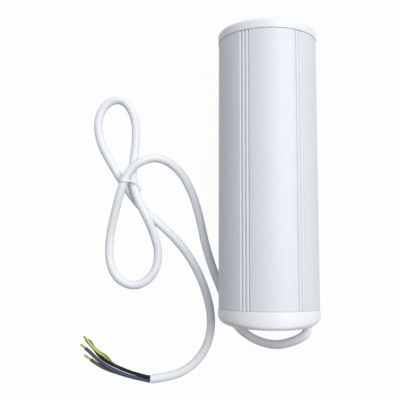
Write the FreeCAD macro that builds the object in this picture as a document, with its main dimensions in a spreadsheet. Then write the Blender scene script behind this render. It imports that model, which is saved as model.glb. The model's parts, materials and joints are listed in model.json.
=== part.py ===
import FreeCAD, Part
import math
import os

import Sketcher

# A wired curtain motor lying on its back beside its loosely tied mains lead.
# Millimetres. +Y runs along the motor towards its drive end, +Z is up, and the floor is z = 0.
# Each housed piece is drawn as the motor hangs, with its height along the motor,
# and is then laid down: x stays x, the height becomes y, and the front face looks up.

V = FreeCAD.Vector
DOC = FreeCAD.newDocument("CurtainMotor")
SHEET = DOC.addObject("Spreadsheet::Sheet", "Sizes")

SIZES = [
    # Housing
    ("half_width", 40.0, "half the width of the oval end caps"),
    ("half_depth", 36.0, "half the depth of the oval end caps"),
    ("tube_inset", 0.45, "how far the caps stand proud of the tube"),
    ("tube_wall", 2.2, "wall of the extruded tube"),
    ("tube_length", 215.0, "length of the extruded tube"),
    ("top_cap_height", 8.3, "height of the cap at the drive end"),
    ("bottom_cap_height", 13.3, "height of the cap at the cable end"),
    ("top_cap_fillet", 3.0, "rounding of the top cap's rim"),
    ("bottom_cap_fillet", 6.0, "rounding of the bottom cap's rim"),
    ("cap_wall", 2.4, "side wall of both caps"),
    ("cap_floor", 2.2, "end wall of both caps"),
    ("groove_radius", 0.55, "radius of the six decorative grooves"),
    ("groove_offset", 20.9, "middle of each group of three grooves from the centre line"),
    ("groove_pitch", 2.6, "spacing of the grooves in a group"),
    # Screw ports and rails of the extrusion
    ("port_x", 27.0, "screw port from the centre line, sideways"),
    ("port_y", 13.0, "screw port from the centre line, front to back"),
    ("port_radius", 3.4, "outside of a screw port"),
    ("port_web", 2.6, "web from a screw port to the wall"),
    ("screw_radius", 1.5, "shank of the cap screws"),
    ("screw_head_radius", 2.8, "head of the cap screws"),
    ("screw_head_height", 1.7, "height of the cap screws' heads"),
    ("screw_length", 16.0, "shank length of the cap screws"),
    ("screw_clearance", 0.2, "gap round a screw's shank and head"),
    ("boss_radius", 4.3, "column round each cap screw"),
    ("rail_reach", 3.4, "how far a board rail stands inside the wall, at the board"),
    ("rail_thickness", 1.4, "thickness of a board rail"),
    ("slide_gap", 0.25, "gap between a sliding-in piece and its rails"),
    ("seat_gap", 0.05, "gap round a seated round piece"),
    ("press_gap", 0.02, "drawn gap of a pressed-on piece"),
    ("cut_reach", 1.5, "how far a cut runs past what it opens"),
    # Drive end
    ("plate_thickness", 4.0, "top plate that carries the gearbox"),
    ("plate_gap", 0.4, "gap between the top plate and the top cap"),
    ("collar_radius", 15.0, "round collar that locates in the track"),
    ("collar_height", 3.5, "height of that collar"),
    ("collar_bore_radius", 9.3, "opening of that collar round the drive spline"),
    ("spline_radius", 8.0, "tips of the drive spline"),
    ("spline_root_radius", 6.4, "roots of the drive spline"),
    ("spline_teeth", 8, "teeth of the drive spline"),
    ("spline_reach", 10.0, "how far the drive spline stands out of the top cap"),
    ("spline_length", 11.7, "length of the drive spline"),
    ("shaft_radius", 5.0, "output shaft"),
    ("shaft_inset", 1.0, "output shaft's end inside the drive spline"),
    ("running_gap", 0.05, "radial gap of a shaft in its bush"),
    ("bearing_radius", 10.0, "outside of the output bush"),
    ("clip_thickness", 1.0, "retaining ring on the output shaft"),
    ("clip_gap", 0.3, "gap between the top plate and the retaining ring"),
    ("clip_radius", 7.6, "outside of the retaining ring"),
    ("clip_groove_radius", 4.4, "bottom of its groove"),
    # Planetary gearbox, two alike stages
    ("gear_module", 0.8, "module of all the gears"),
    ("sun_teeth", 12, "teeth of each sun gear"),
    ("planet_teeth", 18, "teeth of each planet gear"),
    ("tooth_backlash", 0.14, "play between two teeth"),
    ("planet_width", 8.0, "width of the planet gears"),
    ("carrier_thickness", 4.0, "thickness of a planet carrier"),
    ("gear_gap", 0.5, "end play between turning pieces"),
    ("planet_pin_radius", 2.0, "planet pins"),
    ("carrier_rim", 1.6, "rim of a carrier outside its pins"),
    ("ring_wall", 5.4, "wall of the gearbox outside the ring gear's teeth"),
    ("cover_thickness", 4.0, "gearbox cover"),
    ("base_thickness", 4.0, "gearbox base, which carries the motor"),
    ("tie_bolt_radius", 1.2, "bolts through the gearbox"),
    ("tie_bolt_head_radius", 2.1, "heads of those bolts"),
    ("tie_bolt_circle", 23.1, "radius on which the gearbox bolts stand"),
    ("plate_screw_circle", 15.5, "radius on which the top plate's screws stand"),
    # Motor
    ("can_radius", 21.0, "outside of the motor can"),
    ("can_wall", 1.5, "wall of the motor can"),
    ("can_length", 66.0, "length of the motor can"),
    ("motor_shaft_radius", 2.5, "motor shaft"),
    ("bush_radius", 4.5, "outside of the motor's bushes"),
    ("bush_length", 6.0, "length of the motor's bushes"),
    ("magnet_thickness", 3.2, "field magnets"),
    ("magnet_length", 44.0, "length of the field magnets"),
    ("magnet_split", 5.0, "half the space between the two magnets"),
    ("air_gap", 0.6, "gap between magnets and armature"),
    ("core_length", 34.0, "armature core"),
    ("core_shift", 6.0, "armature core above the middle of the can"),
    ("core_slots", 10, "slots of the armature core"),
    ("slot_radius", 2.0, "round bottom of an armature slot"),
    ("slot_circle", 11.2, "radius on which the slots stand"),
    ("slot_mouth", 1.2, "half the mouth of an armature slot"),
    ("winding_gap", 0.35, "gap between winding and core"),
    ("winding_height", 6.0, "height of an end turn of the winding"),
    ("winding_bore_radius", 6.4, "inside of an end turn"),
    ("commutator_radius", 5.2, "commutator"),
    ("commutator_length", 9.0, "length of the commutator"),
    ("commutator_gap", 1.0, "gap between the commutator and the winding"),
    ("brush_gap", 0.1, "gap between brush and commutator, drawn open"),
    ("brush_width", 4.0, "carbon brushes, across"),
    ("brush_length", 7.0, "carbon brushes, along their push"),
    ("guide_wall", 1.2, "wall of a brush guide"),
    ("guide_gap", 1.0, "gap between a brush guide and the commutator"),
    ("bell_thickness", 3.0, "plastic end bell of the motor"),
    ("magnet_disc_radius", 5.0, "speed sensor magnet"),
    ("magnet_disc_thickness", 2.4, "thickness of the speed sensor magnet"),
    ("sensor_board_radius", 14.0, "speed sensor board"),
    ("board_thickness", 1.6, "all circuit boards"),
    ("standoff_height", 4.0, "standoffs of the sensor board"),
    ("standoff_radius", 1.5, "radius of those standoffs"),
    ("standoff_circle", 11.0, "radius on which those standoffs stand"),
    # Motor cradle
    ("cradle_thickness", 8.0, "oval cradle round the motor's lower end"),
    ("cradle_gap", 0.3, "gap between the cradle and the tube"),
    ("cradle_lift", 6.0, "cradle above the end of the motor can"),
    ("damper_thickness", 2.5, "rubber ring between cradle and motor"),
    # Electronics
    ("board_y", 6.0, "middle of the main board behind the centre line"),
    ("board_shift", 3.1, "main board above the middle of its space"),
    ("board_length", 80.0, "length of the main board"),
    ("board_edge_gap", 1.0, "gap between the main board's edges and the tube"),
    ("transformer_width", 30.0, "transformer, across"),
    ("transformer_height", 21.0, "transformer, off the board"),
    ("transformer_length", 27.0, "transformer, along the motor"),
    ("transformer_x", -8.0, "transformer from the centre line"),
    ("transformer_lift", 20.0, "transformer above the main board's lower end"),
    ("capacitor_radius", 6.5, "large capacitors"),
    ("capacitor_height", 22.0, "height of the large capacitors"),
    ("capacitor_x", -15.5, "first capacitor from the centre line"),
    ("capacitor_pitch", 14.2, "spacing of the capacitors"),
    ("capacitor_lift", 57.0, "capacitors above the main board's lower end"),
    ("relay_width", 10.0, "relays, across"),
    ("relay_height", 12.0, "relays, off the board"),
    ("relay_length", 18.0, "relays, along the motor"),
    ("relay_x", 14.0, "first relay from the centre line"),
    ("relay_pitch", 11.5, "spacing of the relays"),
    ("relay_lift", 22.0, "relays above the main board's lower end"),
    ("terminal_width", 22.0, "terminal block, across"),
    ("terminal_height", 10.0, "terminal block, off the board"),
    ("terminal_length", 9.0, "terminal block, along the motor"),
    ("terminal_x", 14.0, "terminal block from the centre line"),
    ("terminal_lift", 2.0, "terminal block above the main board's lower end"),
    ("terminal_depth", 7.0, "depth of the terminals"),
    ("terminal_pitch", 5.0, "spacing of the terminals, two rows in turn"),
    ("terminal_gap", 0.1, "gap round a core in its terminal"),
    ("lead_radius", 0.9, "insulated motor leads"),
    ("lead_offset", 17.0, "motor leads from the centre line"),
    ("lead_gap", 4.5, "gap between the capacitors and the ends of the motor leads"),
    # Bottom cap fittings
    ("io_height", 15.6, "small board above the end face"),
    ("io_width", 40.0, "small board, sideways"),
    ("io_depth", 30.0, "small board, front to back"),
    ("post_radius", 2.0, "posts under the small board"),
    ("post_x", 16.5, "posts from the centre line, sideways"),
    ("post_y", 10.5, "posts from the centre line, front to back"),
    ("jack_x", -7.5, "control socket from the centre line"),
    ("jack_width", 13.2, "control socket, outside"),
    ("jack_depth", 12.6, "control socket, outside, front to back"),
    ("jack_opening_width", 9.9, "mouth of the control socket"),
    ("jack_opening_depth", 8.0, "mouth of the control socket, front to back"),
    ("jack_opening_length", 11.0, "depth of the control socket"),
    ("jack_setback", 0.4, "control socket behind the end face"),
    ("latch_width", 4.0, "slot for the plug's latch"),
    ("latch_depth", 1.4, "depth of that slot"),
    ("fit_gap", 0.3, "gap round the socket, button and light pipe"),
    ("button_x", 7.0, "programming button from the centre line"),
    ("button_y", -5.0, "programming button from the middle plane"),
    ("button_radius", 2.8, "programming button"),
    ("button_flange_radius", 4.0, "flange that keeps the button in"),
    ("button_stem_radius", 1.3, "stem of the button"),
    ("button_travel", 1.0, "travel of the button"),
    ("button_setback", 0.4, "button behind the end face"),
    ("button_flange_thickness", 1.2, "thickness of the button's flange"),
    ("button_rest_gap", 0.1, "gap behind the button's flange and before the switch"),
    ("switch_size", 6.0, "tactile switch"),
    ("switch_height", 3.4, "height of the tactile switch"),
    ("spring_wire", 0.5, "wire of the button's spring"),
    ("spring_radius", 2.3, "middle radius of the button's spring"),
    ("spring_turns", 5, "turns of the button's spring"),
    ("spring_gap", 0.05, "gap at each end of the button's spring"),
    ("light_pipe_y", 6.0, "status light from the middle plane"),
    ("light_pipe_radius", 1.5, "status light pipe"),
    ("light_pipe_setback", 0.2, "light pipe behind the end face"),
    # Cable
    ("cable_diameter", 7.0, "jacket of the four-core lead"),
    ("cable_exit_inset", 9.8, "where the lead leaves, in from the side of the bottom cap"),
    ("cable_floor_gap", 0.05, "gap under the lead where it lies"),
    ("grommet_radius", 4.5, "rubber grommet, outside"),
    ("grommet_flange_radius", 5.6, "inner flange of the grommet"),
    ("grommet_flange", 1.6, "thickness of that flange"),
    ("clamp_start", 5.6, "cord clamp above the end face"),
    ("clamp_length", 5.0, "cord clamp, along the lead"),
    ("clamp_half_depth", 7.6, "half the cord clamp, front to back"),
    ("clamp_thickness", 5.2, "cord clamp, across the lead"),
    ("clamp_gap", 0.4, "space between clamp and its seat"),
    ("clamp_screw_radius", 0.9, "screws of the cord clamp"),
    ("clamp_screw_gap", 0.1, "gap round those screws"),
    ("clamp_screw_head", 1.0, "height of those screws' heads"),
    ("clamp_screw_y", 5.6, "those screws from the middle plane"),
    ("exit_length", 4.0, "straight lead outside the end face"),
    ("jacket_inside", 2.0, "jacket inside the bottom cap, past the clamp"),
    ("inner_bend", 4.0, "straight cores past the jacket, in two steps"),
    ("core_diameter", 2.8, "each insulated core"),
    ("core_gap", 0.15, "gap between the cores"),
    ("tip_diameter", 2.0, "bared and twisted copper ends"),
    ("tip_black", 1.5, "length of the bared end of the black core"),
    ("tip_green_yellow", 3.0, "of the green and yellow core"),
    ("tip_blue", 5.0, "of the blue core"),
    ("tip_brown", 6.5, "and of the brown core"),
    ("tie_gap", 0.7, "gap between the tie and the lead"),
    ("tie_thickness", 0.5, "flat tie"),
    ("tie_width", 1.6, "width of the flat tie"),
    ("tie_tail_length", 7.5, "loose end of the tie"),
    ("tie_tail_width", 1.6, "width of that end"),
]

for row, (alias, number, note) in enumerate(SIZES, start=1):
    SHEET.set(f"A{row}", alias)
    SHEET.set(f"B{row}", str(number))
    SHEET.set(f"C{row}", note)
    SHEET.setAlias(f"B{row}", alias)
DOC.recompute()

# Sizes that are both a number and the expression that binds it

OPERATIONS = {
    "+": lambda a, b: a + b,
    "-": lambda a, b: a - b,
    "*": lambda a, b: a * b,
    "/": lambda a, b: a / b,
}


class Size:
    """A cell of the sheet or a formula of cells: its number, and the text that binds it."""

    def __init__(self, number, text):
        self.number = number
        self.text = text

    def __add__(self, other):
        return combine(self, "+", other)

    def __radd__(self, other):
        return combine(other, "+", self)

    def __sub__(self, other):
        return combine(self, "-", other)

    def __rsub__(self, other):
        return combine(other, "-", self)

    def __mul__(self, other):
        return combine(self, "*", other)

    def __rmul__(self, other):
        return combine(other, "*", self)

    def __truediv__(self, other):
        return combine(self, "/", other)

    def __neg__(self):
        return combine(0, "-", self)

    def __float__(self):
        return float(self.number)

    def root(self):
        return Size(math.sqrt(self.number), f"sqrt({self.text})")


def as_size(value):
    if isinstance(value, Size):
        return value
    return Size(float(value), f"({float(value)})")


def combine(left, sign, right):
    left = as_size(left)
    right = as_size(right)
    number = OPERATIONS[sign](left.number, right.number)
    return Size(number, f"({left.text} {sign} {right.text})")


class Cells:
    """The sheet's cells by name."""

    def __getattr__(self, alias):
        return Size(float(SHEET.get(alias)), f"Sizes.{alias}")


s = Cells()


def bind(thing, name, value):
    thing.setExpression(name, as_size(value).text)


# Worked-out sizes, with heights along the motor from the bottom cap's end face

TUBE_A = s.half_width - s.tube_inset
TUBE_B = s.half_depth - s.tube_inset
BORE_A = TUBE_A - s.tube_wall
BORE_B = TUBE_B - s.tube_wall
WALL_A = TUBE_A - s.tube_wall / 2
WALL_B = TUBE_B - s.tube_wall / 2

CABLE_X = s.half_width - s.cable_exit_inset
TUBE_START = s.bottom_cap_height
PLATE_START = TUBE_START + s.tube_length
PLATE_END = PLATE_START + s.plate_thickness
TOP_FACE = PLATE_START + s.top_cap_height
SPLINE_END = TOP_FACE + s.spline_reach
SPLINE_START = SPLINE_END - s.spline_length
COVER_START = PLATE_START - s.cover_thickness
CARRIER_2_START = COVER_START - s.gear_gap - s.carrier_thickness
PLANET_2_START = CARRIER_2_START - s.gear_gap - s.planet_width
CARRIER_1_START = PLANET_2_START - s.gear_gap - s.carrier_thickness
PLANET_1_START = CARRIER_1_START - s.gear_gap - s.planet_width
RING_START = PLANET_1_START - s.gear_gap
BASE_START = RING_START - s.base_thickness
CAN_START = BASE_START - s.can_length
BELL_START = CAN_START - s.bell_thickness
SENSOR_END = BELL_START - s.standoff_height

RING_TEETH = s.sun_teeth + 2 * s.planet_teeth
ADDENDUM = 0.75
DEDENDUM = 1.05
PLANET_CIRCLE = s.gear_module * (s.sun_teeth + s.planet_teeth) / 2
SUN_TIP = s.gear_module * (s.sun_teeth / 2 + ADDENDUM)
RING_ROOT = s.gear_module * (RING_TEETH / 2 + DEDENDUM)
GEARBOX_RADIUS = RING_ROOT + s.ring_wall
CARRIER_RADIUS = PLANET_CIRCLE + s.planet_pin_radius + s.carrier_rim
PLANETS = 3

CORE_RADIUS = s.can_radius - s.can_wall - s.magnet_thickness - s.air_gap
CORE_START = CAN_START + (s.can_length - s.core_length) / 2 + s.core_shift
MAGNET_START = CORE_START + s.core_length / 2 - s.magnet_length / 2
COMMUTATOR_START = CORE_START - s.winding_height - s.commutator_gap - s.commutator_length
CRADLE_START = CAN_START + s.cradle_lift

BOARD_FRONT = s.board_y - s.board_thickness / 2
BOARD_SPACE_START = s.io_height + s.board_thickness
BOARD_SPACE_END = SENSOR_END - s.board_thickness
BOARD_MIDDLE = (BOARD_SPACE_START + BOARD_SPACE_END) / 2 + s.board_shift
BOARD_START = BOARD_MIDDLE - s.board_length / 2
BUTTON_FLANGE = s.cap_floor + s.button_rest_gap
SWITCH_START = s.io_height - s.switch_height
PORTS = [(-s.port_x, -s.port_y), (s.port_x, -s.port_y), (s.port_x, s.port_y), (-s.port_x, s.port_y)]

# How the housed pieces are laid down: the floor touches the caps' backs

MIDDLE = SPLINE_END / 2
NODES = []
CUTS = []


def keep(piece, name):
    """Names a finished sub-part."""
    piece.Label = name
    NODES.append(piece)
    return piece


def lay(piece, x=0, y=0, height=0):
    """Lays a piece that is drawn upright on its back."""
    piece.Placement = FreeCAD.Placement(V(0, 0, 0), FreeCAD.Rotation(V(1, 0, 0), -90))
    bind(piece, "Placement.Base.x", x)
    bind(piece, "Placement.Base.y", height - MIDDLE)
    bind(piece, "Placement.Base.z", s.half_depth - y)
    return piece


# Sketches, pads and pockets


def is_zero(value):
    return abs(float(value)) < 1e-9


def body_of(name):
    body = DOC.addObject("PartDesign::Body", "Body")
    lay(body)
    return keep(body, name)


def sketch_at(body, height):
    """A sketch on the body's own XY plane, lifted to a height along the motor."""
    plane = [part for part in body.Origin.OriginFeatures if part.Role == "XY_Plane"][0]
    sketch = body.newObject("Sketcher::SketchObject", "Sketch")
    sketch.AttachmentSupport = [(plane, "")]
    sketch.MapMode = "FlatFace"
    sketch.AttachmentOffset = FreeCAD.Placement(V(0, 0, float(height)), FreeCAD.Rotation())
    bind(sketch, "AttachmentOffset.Base.z", height)
    return sketch


def hold_point(sketch, geometry, point, x, y):
    """Holds a point of the sketch at x, y."""
    if is_zero(x) and is_zero(y):
        sketch.addConstraint(Sketcher.Constraint("Coincident", geometry, point, -1, 1))
        return
    for kind, axis, value in (("DistanceX", -2, x), ("DistanceY", -1, y)):
        if is_zero(value):
            sketch.addConstraint(Sketcher.Constraint("PointOnObject", geometry, point, axis))
        else:
            index = sketch.addConstraint(
                Sketcher.Constraint(kind, -1, 1, geometry, point, float(value))
            )
            bind(sketch, f"Constraints[{index}]", value)


def add_circle(sketch, radius, x=0, y=0):
    centre = V(float(x), float(y), 0)
    geometry = sketch.addGeometry(Part.Circle(centre, V(0, 0, 1), float(radius)), False)
    index = sketch.addConstraint(Sketcher.Constraint("Radius", geometry, float(radius)))
    bind(sketch, f"Constraints[{index}]", radius)
    hold_point(sketch, geometry, 3, x, y)


def add_oval(sketch, half_width, half_depth):
    """An ellipse about the axis, held by its two diameters, the longer one first."""
    halves = [half_width, half_depth]
    ends = [V(float(half_width), 0, 0), V(0, float(half_depth), 0)]
    direction = "Horizontal"
    if float(half_depth) > float(half_width):
        halves.reverse()
        ends = [ends[1], -ends[0]]
        direction = "Vertical"
    shape = Part.Ellipse(*ends, V(0, 0, 0))
    geometry = sketch.addGeometry(shape, False)
    sketch.exposeInternalGeometry(geometry)
    hold_point(sketch, geometry, 3, 0, 0)
    sketch.addConstraint(Sketcher.Constraint(direction, geometry + 1))
    for line, half in zip((geometry + 1, geometry + 2), halves):
        index = sketch.addConstraint(Sketcher.Constraint("Distance", line, 2 * float(half)))
        bind(sketch, f"Constraints[{index}]", 2 * half)


def add_rectangle(sketch, x0, y0, x1, y1):
    corners = [(x0, y0), (x1, y0), (x1, y1), (x0, y1)]
    points = [V(float(x), float(y), 0) for x, y in corners]
    lines = []
    for start, end in zip(points, points[1:] + points[:1]):
        lines.append(sketch.addGeometry(Part.LineSegment(start, end), False))
    for this, following in zip(lines, lines[1:] + lines[:1]):
        sketch.addConstraint(Sketcher.Constraint("Coincident", this, 2, following, 1))
    for line, kind in zip(lines, ("Horizontal", "Vertical", "Horizontal", "Vertical")):
        sketch.addConstraint(Sketcher.Constraint(kind, line))
    hold_point(sketch, lines[0], 1, x0, y0)
    hold_point(sketch, lines[1], 2, x1, y1)


def pad(body, sketch, length):
    feature = body.newObject("PartDesign::Pad", "Pad")
    feature.Profile = sketch
    bind(feature, "Length", length)
    return feature


def pocket(body, sketch, length):
    """Cuts upwards from the sketch."""
    feature = body.newObject("PartDesign::Pocket", "Pocket")
    feature.Profile = sketch
    feature.Reversed = True
    bind(feature, "Length", length)
    CUTS.append(feature)
    return feature


def fillet_rim(body, base, height, radius, widest=True):
    """Rounds the widest or the narrowest oval edge of a feature at a height."""
    DOC.recompute()
    level = float(height)
    ovals = []
    for index, edge in enumerate(base.Shape.Edges, start=1):
        box = edge.BoundBox
        if abs(box.ZMin - level) < 1e-4 and abs(box.ZMax - level) < 1e-4 and len(edge.Vertexes) == 1:
            ovals.append((box.XLength, index))
    index = max(ovals)[1] if widest else min(ovals)[1]
    feature = body.newObject("PartDesign::Fillet", "Fillet")
    feature.Base = (base, [f"Edge{index}"])
    bind(feature, "Radius", radius)
    return feature


def disc_body(name, steps, holes=()):
    """A body of coaxial discs (start, length, radius) and bores (start, length, radius, x, y)."""
    body = body_of(name)
    for start, length, radius in steps:
        sketch = sketch_at(body, start)
        add_circle(sketch, radius)
        pad(body, sketch, length)
    for start, length, radius, x, y in holes:
        sketch = sketch_at(body, start)
        add_circle(sketch, radius, x, y)
        pocket(body, sketch, length)
    return body


def ring_body(name, start, length, outer, inner):
    """A plain ring, bush or pipe about the motor's axis."""
    body = body_of(name)
    sketch = sketch_at(body, start)
    add_circle(sketch, outer)
    add_circle(sketch, inner)
    pad(body, sketch, length)
    return body


# Primitives, drawn upright, for groups and simple blocks


def block(x, y, height, width, depth, length):
    """A box by its lowest corner."""
    solid = DOC.addObject("Part::Box", "Block")
    bind(solid, "Length", width)
    bind(solid, "Width", depth)
    bind(solid, "Height", length)
    place(solid, x, y, height)
    return solid


def rod(radius, length, x, y, height, turn=None):
    """A cylinder from its foot, upright unless it is turned."""
    solid = DOC.addObject("Part::Cylinder", "Rod")
    bind(solid, "Radius", radius)
    bind(solid, "Height", length)
    place(solid, x, y, height, turn)
    return solid


def place(solid, x, y, height, turn=None):
    solid.Placement = FreeCAD.Placement(V(0, 0, 0), turn or FreeCAD.Rotation())
    bind(solid, "Placement.Base.x", x)
    bind(solid, "Placement.Base.y", y)
    bind(solid, "Placement.Base.z", height)


def cut_away(base, tools):
    solid = DOC.addObject("Part::Cut", "Cut")
    solid.Base = base
    solid.Tool = tools[0] if len(tools) == 1 else joined(tools)
    return solid


def joined(solids):
    solid = DOC.addObject("Part::MultiFuse", "Fuse")
    solid.Shapes = solids
    return solid


def group(solids):
    solid = DOC.addObject("Part::Compound", "Group")
    solid.Links = solids
    return solid


TO_FRONT = FreeCAD.Rotation(V(1, 0, 0), 90)
TO_RIGHT = FreeCAD.Rotation(V(0, 1, 0), 90)


def on_circle(radius, angle):
    """A point at an angle in degrees on a circle about the axis."""
    return radius * math.cos(math.radians(angle)), radius * math.sin(math.radians(angle))


def wall_x(y):
    """How far out the middle of the tube's wall is, at y."""
    return WALL_A * (1 - (y / WALL_B) * (y / WALL_B)).root()


# Tube and caps


def bore_features(body, start, length, gap, cut):
    """The screw ports, webs and board rails inside the tube, as pads or, widened, as cuts."""
    shape = pocket if cut else pad
    sketch = sketch_at(body, start)
    for x, y in PORTS:
        add_circle(sketch, s.port_radius + gap, x, y)
    shape(body, sketch, length)
    sketch = sketch_at(body, start)
    for side in (-1, 1):
        for y in (-s.port_y, s.port_y):
            half = s.port_web / 2 + gap
            reach = wall_x(s.port_y) + (s.cut_reach if cut else 0)
            near, far = sorted((side * s.port_x, side * reach), key=float)
            add_rectangle(sketch, near, y - half, far, y + half)
    shape(body, sketch, length)
    sketch = sketch_at(body, start)
    channel = s.board_thickness / 2 + s.slide_gap
    inner = BORE_A - s.rail_reach - gap
    reach = wall_x(s.board_y) + (s.cut_reach if cut else 0)
    for side in (-1, 1):
        near, far = sorted((side * inner, side * reach), key=float)
        if cut:
            edge = channel + s.rail_thickness + gap
            add_rectangle(sketch, near, s.board_y - edge, far, s.board_y + edge)
        else:
            for low in (s.board_y - channel - s.rail_thickness, s.board_y + channel):
                add_rectangle(sketch, near, low, far, low + s.rail_thickness)
    shape(body, sketch, length)


def housing_tube():
    body = body_of("housing_tube")
    sketch = sketch_at(body, TUBE_START)
    add_oval(sketch, TUBE_A, TUBE_B)
    add_oval(sketch, BORE_A, BORE_B)
    pad(body, sketch, s.tube_length)
    bore_features(body, TUBE_START, s.tube_length, 0, False)
    sketch = sketch_at(body, TUBE_START)
    for x, y in PORTS:
        add_circle(sketch, s.screw_radius + s.seat_gap, x, y)
    pocket(body, sketch, s.tube_length)
    sketch = sketch_at(body, TUBE_START)
    for side in (-1, 1):
        for step in (-1, 0, 1):
            x = side * s.groove_offset + step * s.groove_pitch
            y = -TUBE_B * (1 - (x / TUBE_A) * (x / TUBE_A)).root()
            add_circle(sketch, s.groove_radius, x, y)
    pocket(body, sketch, s.tube_length)


def cap_holes(body, start, length, radius):
    sketch = sketch_at(body, start)
    for x, y in PORTS:
        add_circle(sketch, radius, x, y)
    return sketch, length


def top_cap():
    body = body_of("top_cap")
    sketch = sketch_at(body, PLATE_START)
    add_oval(sketch, s.half_width, s.half_depth)
    shell = pad(body, sketch, s.top_cap_height)
    fillet_rim(body, shell, TOP_FACE, s.top_cap_fillet)
    hollow = s.top_cap_height - s.cap_floor
    sketch = sketch_at(body, PLATE_START)
    add_oval(sketch, s.half_width - s.cap_wall, s.half_depth - s.cap_wall)
    pocket(body, sketch, hollow)
    pad(body, *cap_holes(body, PLATE_END, hollow - s.plate_thickness, s.boss_radius))
    sketch = sketch_at(body, TOP_FACE)
    add_circle(sketch, s.collar_radius)
    pad(body, sketch, s.collar_height)
    sketch = sketch_at(body, PLATE_END)
    add_circle(sketch, s.collar_bore_radius)
    pocket(body, sketch, s.top_cap_height + s.collar_height)
    drill = s.screw_radius + s.screw_clearance
    pocket(body, *cap_holes(body, PLATE_START, s.top_cap_height, drill))
    seat = TOP_FACE - s.screw_head_height
    head = s.screw_head_radius + s.screw_clearance
    pocket(body, *cap_holes(body, seat, s.screw_head_height, head))


def bottom_cap():
    body = body_of("bottom_cap")
    sketch = sketch_at(body, 0)
    add_oval(sketch, s.half_width, s.half_depth)
    shell = pad(body, sketch, s.bottom_cap_height)
    fillet_rim(body, shell, 0, s.bottom_cap_fillet)
    hollow = s.bottom_cap_height - s.cap_floor
    sketch = sketch_at(body, s.cap_floor)
    add_oval(sketch, s.half_width - s.cap_wall, s.half_depth - s.cap_wall)
    cavity = pocket(body, sketch, hollow)
    fillet_rim(body, cavity, s.cap_floor, s.bottom_cap_fillet - s.cap_floor)
    pad(body, *cap_holes(body, s.cap_floor, hollow, s.boss_radius))
    sketch = sketch_at(body, s.cap_floor)
    for x in (-s.post_x, s.post_x):
        for y in (-s.post_y, s.post_y):
            add_circle(sketch, s.post_radius, x, y)
    pad(body, sketch, s.io_height - s.cap_floor)
    sketch = sketch_at(body, s.clamp_start)
    seat = CABLE_X + s.clamp_gap / 2
    add_rectangle(sketch, seat, -s.clamp_half_depth, clamp_wall_x(), s.clamp_half_depth)
    pad(body, sketch, s.clamp_length)
    sketch = sketch_at(body, s.clamp_start)
    add_circle(sketch, s.cable_diameter / 2 + s.seat_gap, CABLE_X, 0)
    pocket(body, sketch, s.clamp_length)
    drill = s.screw_radius + s.screw_clearance
    pocket(body, *cap_holes(body, 0, s.bottom_cap_height, drill))
    head = s.screw_head_radius + s.screw_clearance
    pocket(body, *cap_holes(body, 0, s.screw_head_height, head))
    sketch = sketch_at(body, 0)
    half_width = s.jack_width / 2 + s.fit_gap
    half_depth = s.jack_depth / 2 + s.fit_gap
    add_rectangle(
        sketch, s.jack_x - half_width, -half_depth, s.jack_x + half_width, half_depth
    )
    add_circle(sketch, s.button_radius + s.fit_gap, s.button_x, s.button_y)
    add_circle(sketch, s.light_pipe_radius + s.seat_gap, s.button_x, s.light_pipe_y)
    add_circle(sketch, s.grommet_radius + s.seat_gap, CABLE_X, 0)
    pocket(body, sketch, s.cap_floor)
    sketch = sketch_at(body, s.cap_floor)
    add_circle(sketch, s.grommet_flange_radius + s.seat_gap, CABLE_X, 0)
    pocket(body, sketch, s.clamp_start - s.cap_floor)


def clamp_wall_x():
    """Where the clamp's seat ends inside the bottom cap's side wall."""
    a = s.half_width - s.cap_wall / 2
    b = s.half_depth - s.cap_wall / 2
    return a * (1 - (s.clamp_half_depth / b) * (s.clamp_half_depth / b)).root()


def cap_screws():
    """Four screws through each cap into the tube's ports, heads outwards."""
    top_head = TOP_FACE - s.screw_head_height
    solids = []
    for head_start, shank_start in (
        (top_head, top_head - s.screw_length),
        (as_size(0), s.screw_head_height),
    ):
        for x, y in PORTS:
            head = rod(s.screw_head_radius, s.screw_head_height, x, y, head_start)
            shank = rod(s.screw_radius, s.screw_length, x, y, shank_start)
            solids.append(joined([head, shank]))
    keep(lay(group(solids)), "cap_screws")


# Drive end


def top_plate():
    body = body_of("top_plate")
    gap = s.cap_wall + s.plate_gap
    sketch = sketch_at(body, PLATE_START)
    add_oval(sketch, s.half_width - gap, s.half_depth - gap)
    pad(body, sketch, s.plate_thickness)
    sketch = sketch_at(body, PLATE_START)
    add_circle(sketch, s.bearing_radius + s.seat_gap)
    for x, y in PORTS:
        add_circle(sketch, s.screw_radius + s.screw_clearance, x, y)
    for turn in range(4):
        x, y = on_circle(s.plate_screw_circle, 45 + 90 * turn)
        add_circle(sketch, s.screw_radius + s.screw_clearance, x, y)
    pocket(body, sketch, s.plate_thickness)


def plate_screws():
    solids = []
    for turn in range(4):
        x, y = on_circle(s.plate_screw_circle, 45 + 90 * turn)
        head = rod(s.screw_head_radius, s.screw_head_height, x, y, PLATE_END)
        length = s.plate_thickness + s.cover_thickness
        shank = rod(s.screw_radius, length, x, y, COVER_START)
        solids.append(joined([head, shank]))
    keep(lay(group(solids)), "plate_screws")


def output_shaft():
    start = CARRIER_2_START
    clip_start = PLATE_END + s.clip_gap
    shaft = rod(s.shaft_radius, SPLINE_END - s.shaft_inset - start, 0, 0, start)
    outer = rod(s.clip_radius, s.clip_thickness, 0, 0, clip_start)
    core = rod(s.clip_groove_radius, s.clip_thickness, 0, 0, clip_start)
    keep(lay(cut_away(shaft, [cut_away(outer, [core])])), "output_shaft")
    bore = s.clip_groove_radius + s.press_gap
    ring_body("output_clip", clip_start, s.clip_thickness, s.clip_radius, bore)


# Half a spline tooth at its root and at its tip, as shares of the tooth spacing
ROOT_SHARE = 0.32
TIP_SHARE = 0.2


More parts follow.
